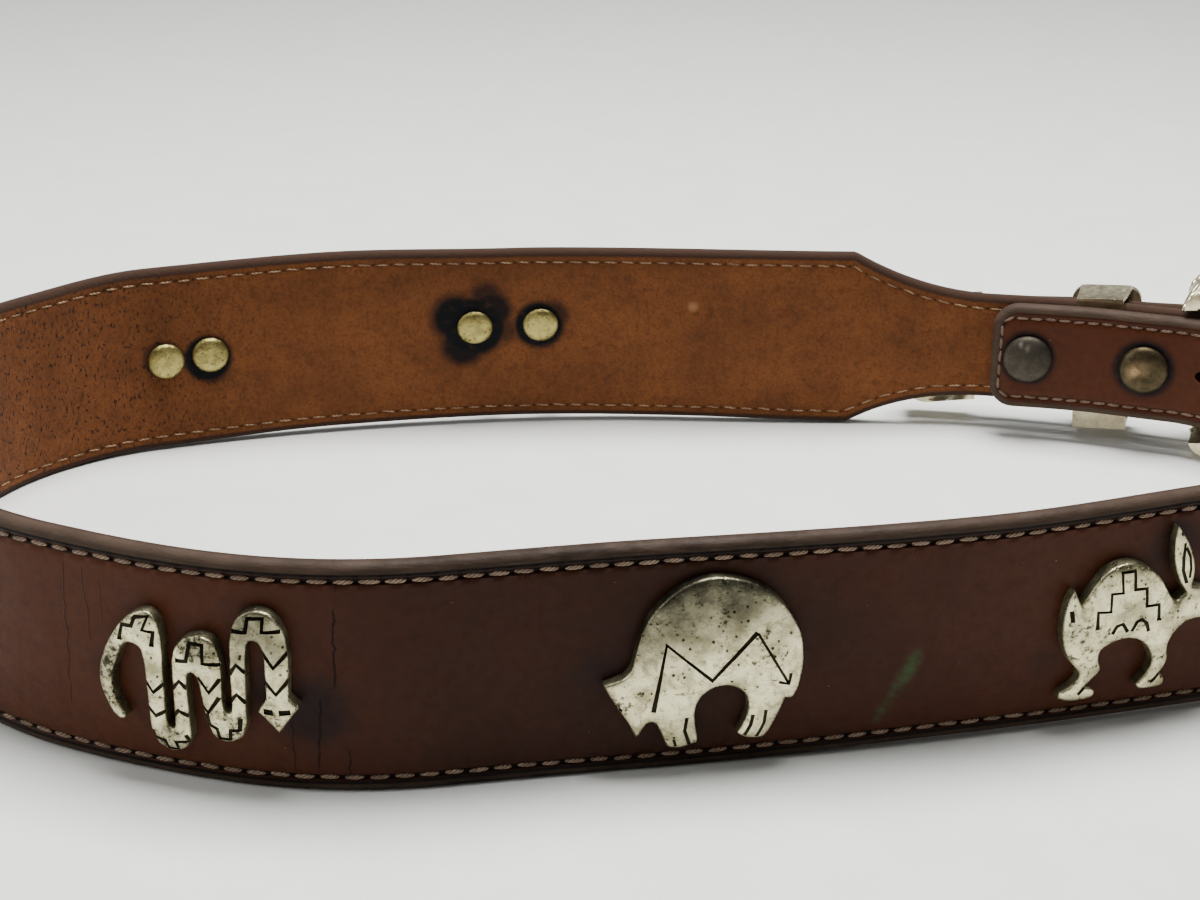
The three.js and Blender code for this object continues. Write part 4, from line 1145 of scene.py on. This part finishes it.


# Old metal: a mottled body, smoothly darkened in spots by painted dark reflection and shade, speckled where
# it is tarnished, and dark in its pits
def metalFinish(name):
    look = metalLooks[name]
    finish, tree, shader = newFinish(name)
    place = objectPlace(tree)
    broad = noiseOn(place, look["scale"] * 0.45, 4, 0.6)
    small = noiseOn(place, look["scale"] * 2.4, 5, 0.7)
    mottle = noiseOn(place, look["scale"] * 1.2, 5, 0.75, 0.8)
    color = blended(between(broad, 0.4, 0.72), look["base"], look["shade"])
    color = blended(between(mottle, 0.48, 0.64, 0.0, 0.75), color, look["shade"])
    # Painted dark reflection and shade on the dulled spots
    dulledAndShaded = times(attribute(tree, "dulledAndShaded"), between(broad, 0.3, 0.7, 0.85, 1.0))
    color = blended(dulledAndShaded, color, look["dulledAndShaded"])
    # Painted highlights and worn bright spots on the snaps
    shine = times(attribute(tree, "shine"), between(small, 0.3, 0.6, 0.6, 1.0))
    color = blended(shine, color, look["shine"])
    # Pits, scratches and specks hold dirt; marked faces add patina in grooves and dirt with painted shade
    # on walls
    pits = cellsOn(place, look["scale"] * 2.1)
    pitted = times(between(pits, 0.26, 0.1), between(broad, 0.45, 0.6))
    scratches = between(noiseOn(mapped(place, (0.5, 1, 3)), look["scale"] * 2.2, 3, 0.6), 0.66, 0.7)
    pitted = larger(pitted, times(scratches, between(mottle, 0.5, 0.6)))
    tarnish = attribute(tree, "tarnish")
    specks = between(plus(small, times(tarnish, 0.17)), 0.6, 0.7, 0.0, 0.85)
    dirt = times(larger(pitted, specks), look["pits"])
    marked = times(attribute(tree, "patinaAndShade"), between(small, 0.2, 0.55, 0.99, 0.94))
    dark = larger(dirt, marked)
    setInput(shader["Base Color"], blended(dark, color, look["patinaAndShade"]))
    shader["Metallic"].default_value = 1.0
    rough = between(small, 0.3, 0.7, *look["rough"])
    setInput(shader["Roughness"], plus(rough, times(dark, 0.35), True))
    rise = minus(times(small, plus(times(tarnish, 0.8), 0.6)), times(pitted, 0.8))
    setInput(shader["Normal"], bumped(rise, look["bump"], 0.00025))
    return finish


# Rivets and snaps, turned about their own axis and set through the strap
rivet = {
    "profile": [
        (0, -1.35), (1.2, -1.33), (2.4, -1.22), (3.1, -1.0), (3.5, -0.72), (3.68, -0.4), (3.7, -0.12),
        (3.6, 0.0), (1.2, 0.0), (1.2, 3.24), (0, 3.24),
    ],
    "steps": 36,
    "base": -1.63,
    "domeStart": 0.2,
    "dents": 0.09,
    "dentScale": 0.5,
    # dirt and painted shade on its sides and underside
    "wallDirtAndShade": (0.9, 0.1, 0.4),
}
snapCap = {
    "shine": [  # each snap's painted highlights and worn bright spots: x, y, reach, how flat, strength
        [(1.6, 3.4, 0.9, 2.0, 0.5), (0.2, 3.0, 0.9, 1.6, 0.45)],
        [(1.9, -0.2, 1.3, 0.6, 0.7), (0.4, 0.6, 2.4, 1.0, 0.2)],
    ],
    # dirt and painted shade on its sides and underside
    "wallDirtAndShade": (0.9, 0.05, 0.3),
    "profile": [
        (0, -1.9), (1.6, -1.88), (2.8, -1.78), (3.8, -1.56), (4.4, -1.26), (4.75, -0.92), (4.93, -0.56),
        (4.96, -0.26), (4.9, -0.08), (4.8, -0.02), (1.9, -0.02), (1.9, 3.36), (3.4, 3.36), (3.4, 3.96),
        (1.4, 3.96), (1.4, 2.0), (0, 2.0),
    ],
    "steps": 72,
}
snapStud = {
    "profile": [
        (0, -4.1), (0.8, -4.0), (1.1, -3.6), (1.1, 1.62), (3.5, 1.62), (3.6, 1.72), (3.6, 2.1),
        (3.3, 2.4), (2.5, 2.62), (1.2, 2.7), (0, 2.7),
    ],
    "steps": 36,
}


def setThrough(bm, run, height):
    place = standingFrame(run, 0, height)
    bmesh.ops.transform(bm, matrix=place, verts=bm.verts)


def rivetPiece(name, run, height, finish):
    bm = turned(rivet, rivet["base"])
    dent = (rivet["dentScale"], rivet["dentScale"])
    for vert in bm.verts:
        if vert.co.z < rivet["base"] - rivet["domeStart"]:
            vert.co.z += rivet["dents"] * unevenAt(vert.co.x, vert.co.y, dent, run)
    dirtAndShadeOnWalls(bm, -1, rivet)
    setThrough(bm, run, height)
    newPiece(name + "_head", meshOf(name, bm), 40, finish, name)


def snapPieces(index, run, capFinish, studFinish):
    cap = turned(snapCap, route["tongueDepth"] + leather["liningFace"])
    dirtAndShadeOnWalls(cap, -1, snapCap)
    shine = cap.verts.layers.float.new("shine")
    for vert in cap.verts:
        vert[shine] = max(
            strength * ease((reach - math.hypot(vert.co.x - x, (vert.co.y - y) * flat)) / reach)
            for x, y, reach, flat, strength in snapCap["shine"][index - 1]
        )
    setThrough(cap, run, leather["wideHalf"])
    name = f"snap_cap_{index}"
    newPiece(name + "_dome", meshOf(name, cap), 40, capFinish, name)
    stud = turned(snapStud)
    setThrough(stud, run, leather["wideHalf"])
    name = f"snap_stud_{index}"
    newPiece(name + "_head", meshOf(name, stud), 40, studFinish, name)


# Stitches: one lozenge of thread, repeated along the seams of the straight strap and then bent
stitch = {
    "outside": {
        "length": 2.8, "height": 0.86, "thickness": 0.6, "depth": 1.42, "slant": 3.5, "shear": 0.8,
    },
    "inside": {
        "length": 2.35, "height": 0.38, "thickness": 0.3, "depth": -1.55, "slant": 4.0, "shear": 0.5,
    },
    "wander": 0.16,
    "lengthSpread": 0.16,
    "blunt": 0.72,
    "tongueSize": 0.82,
    # painted shade in the hollows between the thread's strands
    "hollowShadeTone": "3b291d",
    "tongueTone": "4f3625",
    "segments": 8,
    "rings": 7,
}


# Where a place on the stitch line is, and how far the line has turned there
def seamPoint(phase, upper):
    corner = leather["seamCorner"]
    middle = leather["wideHalf"]
    side = 1 if upper else -1
    if phase >= 0:
        run = (phase - tongueStitches) * leather["stitchPitch"]
        if run < 0:
            run = seamStart * (1 - phase / tongueStitches)
        gap = leather["seamGap"]
        slope = math.atan(lineHalf(run + 0.5, gap) - lineHalf(run - 0.5, gap))
        return run, middle + side * lineHalf(run, gap), side * slope
    angle = -phase * endPitch / corner
    if angle < math.pi / 2:
        height = endStraight + corner * math.cos(angle)
        return seamStart - corner * math.sin(angle), middle + side * height, side * angle
    height = endStraight - corner * (angle - math.pi / 2)
    return seamStart - corner, middle + side * height, side * math.pi / 2


def stitchRows(name, look, finish):
    lozenge = bmesh.new()
    bmesh.ops.create_uvsphere(
        lozenge, u_segments=stitch["segments"], v_segments=stitch["rings"], radius=0.5,
        matrix=Matrix.Rotation(math.pi / 2, 4, "Y"),
    )
    lozenge.verts.index_update()
    shape = []
    for x, y, z in (vert.co for vert in lozenge.verts):
        shape.append(Vector((math.copysign(abs(2 * x) ** stitch["blunt"] / 2, x), y, z)))
    loops = [[vert.index for vert in face.verts] for face in lozenge.faces]
    lozenge.free()
    count = int(seamPhase(tailEnd - leather["endCorner"], 0))
    faceSide = math.copysign(1, look["depth"])
    spots, faces = [], []
    lowerFirst = leather["endStitches"] // 2
    for upper, first in ((False, lowerFirst), (True, leather["endStitches"] - lowerFirst)):
        for number in range(-first, count):
            run, height, turn = seamPoint(number + 0.5, upper)
            seed = Vector((number * 0.73, 5.0 if upper else 1.0, look["depth"]))
            jitter = noise.noise(seed * 3.1)
            other = noise.noise(seed * 2.3 + Vector((9, 4, 2)))
            angle = turn - faceSide * math.radians(look["slant"] * (1 + 2 * other))
            size = stitch["tongueSize"] if run < 0 else 1.0
            length = look["length"] * size * (1 + stitch["lengthSpread"] * jitter)
            height += stitch["wander"] * other
            faces += [[index + len(spots) for index in loop] for loop in loops]
            for point in shape:
                across = point.z * look["height"] * size
                along = point.x * length + faceSide * look["shear"] * across
                spots.append((
                    run + along * math.cos(angle) - across * math.sin(angle),
                    look["depth"] + point.y * look["thickness"],
                    height + along * math.sin(angle) + across * math.cos(angle),
                ))
    mesh = bpy.data.meshes.new(name)
    bent = [onLeather(round(run, 3), depth, height) for run, depth, height in spots]
    mesh.from_pydata(bent, [], faces)
    strapUv = mesh.uv_layers.new(name="strapMap")
    for loop, corner in zip(mesh.loops, strapUv.data):
        run, _, height = spots[loop.vertex_index]
        corner.uv = (run / 10, height / 10)
    newPiece(name, mesh, 180, finish)


def threadFinish(name, light, dark):
    finish, tree, shader = newFinish(name)
    strapUv = strapMap(tree)
    broad = noiseOn(strapUv, 2.6, 4, 0.7)
    color = blended(between(broad, 0.35, 0.65), dark, light)
    values = {"Vector": mapped(strapUv, (9, -14, 1)), "Scale": 0.9, "Distortion": 1.2, "Detail": 2}
    strands = addNode(tree, "TexWave", values, wave_type="BANDS", bands_direction="DIAGONAL")
    twist = strands.outputs["Fac"]
    # Painted shade in the hollows between the twisted strands
    color = blended(between(twist, 0.5, 0.1, 0.0, 0.75), color, stitch["hollowShadeTone"])
    color = blended(tongueShare(strapUv, 0.45), color, stitch["tongueTone"])
    setInput(shader["Base Color"], color)
    shader["Roughness"].default_value = 0.8
    setInput(shader["Normal"], bumped(twist, 0.6, 0.0002))
    return finish


# The buckle, keeper and tip keep the shape of their castings, with their edges eased
hardware = {
    "buckleRound": 0.7,
    "keeperRound": 0.35,
    "keeperRun": 26.6,  # where it stands along the strap
    "keeperDepths": (-2.85, 6.6),  # its back and its plate
    "keeperArm": 5.6,
    "keeperSpread": (0.94, 1.0),  # the arms' width at its back and at its plate
    "keeperShift": 0.8,
    "keeperDarkening": (0.75, 12, 0.65, 0.9),  # darker on its lower part up to a height, and painted shade on its back within a depth
    "tipRound": 0.28,
    "prongRound": 0.05,
    "tipLifts": (-2.6, -3.4),  # of its casting, over the last row of the tail
    "tipHalf": 12.2,  # half its casting's width
    "roundSegments": 3,
    "sharpAngle": 35,
    "frameTurn": -8.0,
    "centreHeight": 18.7,
    "frameLeft": 9.6,
    "frameRight": 22.0,
    "frameHalfHeight": 17.4,
    "frameCorner": 4.0,
    "wallLow": 14.6,  # the frame's deep walls begin this far from its middle
    "wallEnd": -7.0,  # and stop here
    "ropeInset": 0.35,
    "ropeRows": [(-0.6, True), (8.6, False)],  # depth, and whether only the deep walls hold it
    "ropePitch": 1.5,
    "ropeSlant": 38.0,
    "ropeStrand": (0.85, 0.75, 4.0),
    "rimStrand": (0.85, 0.7, 1.4),
}


def easedCopy(node, rounding):
    bm = bmesh.new()
    bm.from_mesh(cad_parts[node].data)
    bmesh.ops.scale(bm, vec=(1 / mm,) * 3, verts=bm.verts)
    bmesh.ops.remove_doubles(bm, verts=bm.verts, dist=0.004)
    bmesh.ops.dissolve_limit(
        bm, angle_limit=math.radians(1.5), use_dissolve_boundaries=False,
        verts=bm.verts, edges=bm.edges,
    )
    sharp = [
        edge for edge in bm.edges
        if len(edge.link_faces) == 2
        and edge.calc_face_angle(0) > math.radians(hardware["sharpAngle"])
        and edge.is_convex
    ]
    bmesh.ops.bevel(
        bm, geom=sharp, affect="EDGES", offset=rounding, segments=hardware["roundSegments"],
        profile=0.5, material=-1, clamp_overlap=True,
    )
    bmesh.ops.scale(bm, vec=(mm,) * 3, verts=bm.verts)
    bm.normal_update()
    return bm


def hardwarePiece(name, bm, node, finish):
    newPiece(name, meshOf(name, bm), 40, finish, node)


def roundedRectangle(left, right, half, corner, step):
    spots = []
    for cornerX, cornerY, start in (
        (right - corner, -half + corner, -90), (right - corner, half - corner, 0),
        (left + corner, half - corner, 90), (left + corner, -half + corner, 180),
    ):
        steps = max(3, round(corner * math.pi / 2 / step))
        for i in range(steps + 1):
            angle = math.radians(start + 90 * i / steps)
            reach = Vector((math.cos(angle), math.sin(angle))) * corner
            spots.append(Vector((cornerX, cornerY)) + reach)
    return spots


# Evenly spaced places round a closed line, each with the line's direction there
def evenPlaces(spots, pitch):
    closed = [*spots, spots[0]]
    total = sum((b - a).length for a, b in zip(closed, closed[1:]))
    count = round(total / pitch)
    places = []
    walked = 0.0
    for a, b in zip(closed, closed[1:]):
        length = (b - a).length
        while len(places) < count and length > 0 and len(places) * total / count < walked + length:
            share = (len(places) * total / count - walked) / length
            places.append((a.lerp(b, share), math.atan2(b.y - a.y, b.x - a.x)))
        walked += length
    return places


def bucklePiece(finish):
    bm = easedCopy("buckle_frame", hardware["buckleRound"])
    inset = hardware["ropeInset"]
    line = roundedRectangle(
        -hardware["frameRight"] + inset, hardware["frameLeft"] - inset,
        hardware["frameHalfHeight"] - inset, hardware["frameCorner"] - inset, 1.0,
    )
    x, y, outX, outY, _, _ = leatherAt(0)
    basis = Matrix(((-outY, 0, outX, x), (outX, 0, outY, y), (0, 1, 0, 0), (0, 0, 0, 1)))
    stand = (
        Matrix.Scale(mm, 4) @ basis @ Matrix.Translation((0, hardware["centreHeight"], 0))
        @ Matrix.Rotation(math.radians(hardware["frameTurn"]), 4, "Z")
    )
    for depth, wallOnly in hardware["ropeRows"]:
        for spot, heading in evenPlaces(line, hardware["ropePitch"]):
            if wallOnly and (abs(spot.y) < hardware["wallLow"] or spot.x < hardware["wallEnd"]):
                continue
            strand = hardware["ropeStrand"] if wallOnly else hardware["rimStrand"]
            place = (
                stand @ Matrix.Translation((spot.x, spot.y, depth))
                @ Matrix.Rotation(heading, 4, "Z")
                @ Matrix.Rotation(math.radians(hardware["ropeSlant"]), 4, "Y")
                @ Matrix.Diagonal((*strand, 1))
            )
            bmesh.ops.create_uvsphere(bm, u_segments=8, v_segments=8, radius=1, matrix=place)
    hardwarePiece("buckle_casting", bm, "buckle_frame", finish)


# The keeper's arms flare from its narrow back to its plate; its lower arm is painted darker and its back
# holds painted shade
def keeperPiece(finish):
    bm = easedCopy("keeper", hardware["keeperRound"])
    stand = standingFrame(hardware["keeperRun"], 0, 0)
    back, plate = hardware["keeperDepths"]
    narrow, wide = hardware["keeperSpread"]
    lowDarkening, height, backShade, depth = hardware["keeperDarkening"]
    dulledAndShaded = bm.verts.layers.float.new("dulledAndShaded")
    bmesh.ops.transform(bm, matrix=stand.inverted(), verts=bm.verts)
    for vert in bm.verts:
        behind = vert.co.z - back
        vert[dulledAndShaded] = max(lowDarkening * (1 - ease(vert.co.y / height)), backShade * (1 - ease(behind / depth)))
        out = ease(behind / (plate - back))
        if abs(vert.co.x) < hardware["keeperArm"]:
            vert.co.x *= narrow + (wide - narrow) * out
            vert.co.x += hardware["keeperShift"] * (1 - out)
    bmesh.ops.transform(bm, matrix=stand, verts=bm.verts)
    bm.normal_update()
    hardwarePiece("keeper_band", bm, "keeper", finish)


# The shoe is as wide as the strap's narrow end, and droops with the tail
def tipPiece(finish):
    bm = easedCopy("tail_tip", hardware["tipRound"])
    toTail = standingFrame(tailEnd, 0, 0).inverted()
    early, late = hardware["tipLifts"]
    for vert in bm.verts:
        along = (toTail @ vert.co).x
        lift = early + (late - early) * ease(1 + along / tailRows[-1][0])
        across = vert.co.z / mm - leather["wideHalf"] - lift
        across *= leather["narrowHalf"] / hardware["tipHalf"]
        vert.co.z = (leather["wideHalf"] + leatherAt(tailEnd + along)[5] + across) * mm
    bm.normal_update()
    hardwarePiece("tip_shoe", bm, "tail_tip", finish)


# Finishes and pieces
grain = grainFinish()
suede = suedeFinish()
leatherLayer(
    "strap_cover_leather", leather["seamDepth"], leather["coverFace"], leather["coverDip"], grain,
    "strap_cover",
)
leatherLayer(
    "strap_lining_suede", leather["seamDepth"], leather["liningFace"], leather["liningDip"], suede,
    "strap_lining",
)
print("leather made")
stitchRows("stitching_outside", stitch["outside"], threadFinish("waxedThread", "8c7661", "665241"))
stitchRows("stitching_inside", stitch["inside"], threadFinish("innerThread", "a88c66", "7c6042"))
print("stitches made")
pewter = metalFinish("castPewter")
for name, figureName, run, rise in ornamentPlaces:
    ornamentPiece(name, figureName, run, rise, pewter)
print("ornaments made")
rivetMetal = metalFinish("rivetBrass")
for name, figureName, run, rise in ornamentPlaces:
    for number, (x, y) in enumerate(figures[figureName]["rivets"], 1):
        rivetPiece(f"rivet_{name}_{number}", run + x, y + rise, rivetMetal)
gunmetal = metalFinish("gunmetal")
antiqueBrass = metalFinish("antiqueBrass")
snapPieces(1, holes["snapPlaces"][0], gunmetal, antiqueBrass)
snapPieces(2, holes["snapPlaces"][1], antiqueBrass, antiqueBrass)
print("rivets and snaps made")
silver = metalFinish("buckleSilver")
bucklePiece(silver)
keeperPiece(silver)
tipPiece(silver)
hardwarePiece("prong_wire", easedCopy("prong", hardware["prongRound"]), "prong", silver)
print("buckle, keeper and tip made")

# Table, light and camera
studio = {
    "tableSize": 8.0,
    "tableTone": "dcdcd7",
    "tableShade": "d7d7d2",
    # painted shade: the far table is darker, standing in for the lamp's falloff
    "tableFarShade": "c3c4c0",
    "farShadeReach": (0.12, 0.6),
    "skyTone": "e9ecee",
    "lowTone": "3a3937",
    "worldStrength": 0.44,
    "skyLow": -0.1,
    "skyHigh": 0.85,
    "backShare": 0.35,
    "lamps": [  # place, size, power, aims at
        ((0.04, 0.1, 0.8), 0.42, 20.5, (0, 0.0, 0)),
        ((-0.8, -0.15, 0.4), 0.5, 3.5, (-0.1, 0, 0)),
    ],
    "cameraPlace": (-22.52, -324.39, 166.0),
    "cameraDown": 23.73,
    "lens": 60.0,
    "sensor": 36.0,
}


def makeTable():
    bm = bmesh.new()
    bmesh.ops.create_grid(bm, x_segments=1, y_segments=1, size=studio["tableSize"] / 2)
    mesh = meshOf("table", bm)
    showObject("table", mesh)
    finish, tree, shader = newFinish("paleTable")
    place = objectPlace(tree)
    speck = between(noiseOn(place, 60, 3), 0.3, 0.7)
    color = blended(speck, studio["tableTone"], studio["tableShade"])
    # The far part is painted darker, as painted shade for the light's falloff
    far = between(partsOf(place)[1], *studio["farShadeReach"])
    setInput(shader["Base Color"], blended(far, color, studio["tableFarShade"]))
    shader["Roughness"].default_value = 0.6
    mesh.materials.append(finish)


# A pale room that is darkest low down behind the camera, under soft lamps
def makeLight():
    world = bpy.data.worlds.new("softRoom")
    bpy.context.scene.world = world
    world.use_nodes = True
    tree = world.node_tree
    direction = partsOf(addNode(tree, "TexCoord", {}).outputs["Generated"])
    height = plus(direction[2], times(direction[1], studio["backShare"]))
    share = between(height, studio["skyLow"], studio["skyHigh"])
    background = tree.nodes["Background"]
    setInput(background.inputs["Color"], blended(share, studio["lowTone"], studio["skyTone"]))
    background.inputs["Strength"].default_value = studio["worldStrength"]
    for place, size, power, target in studio["lamps"]:
        lamp = bpy.data.lights.new("softbox", "AREA")
        lamp.shape = "SQUARE"
        lamp.size = size
        lamp.energy = power
        holder = showObject("softbox", lamp)
        holder.location = place
        holder.rotation_euler = (Vector(target) - Vector(place)).to_track_quat("-Z", "Y").to_euler()


def makeCamera():
    camera = bpy.data.cameras.new("camera")
    camera.lens = studio["lens"]
    camera.sensor_width = studio["sensor"]
    camera.clip_start = 0.01
    holder = showObject("camera", camera)
    holder.location = Vector(studio["cameraPlace"]) * mm
    holder.rotation_euler = (math.radians(90 - studio["cameraDown"]), 0, 0)
    bpy.context.scene.camera = holder


makeTable()
makeLight()
makeCamera()
print("table, light and camera set")
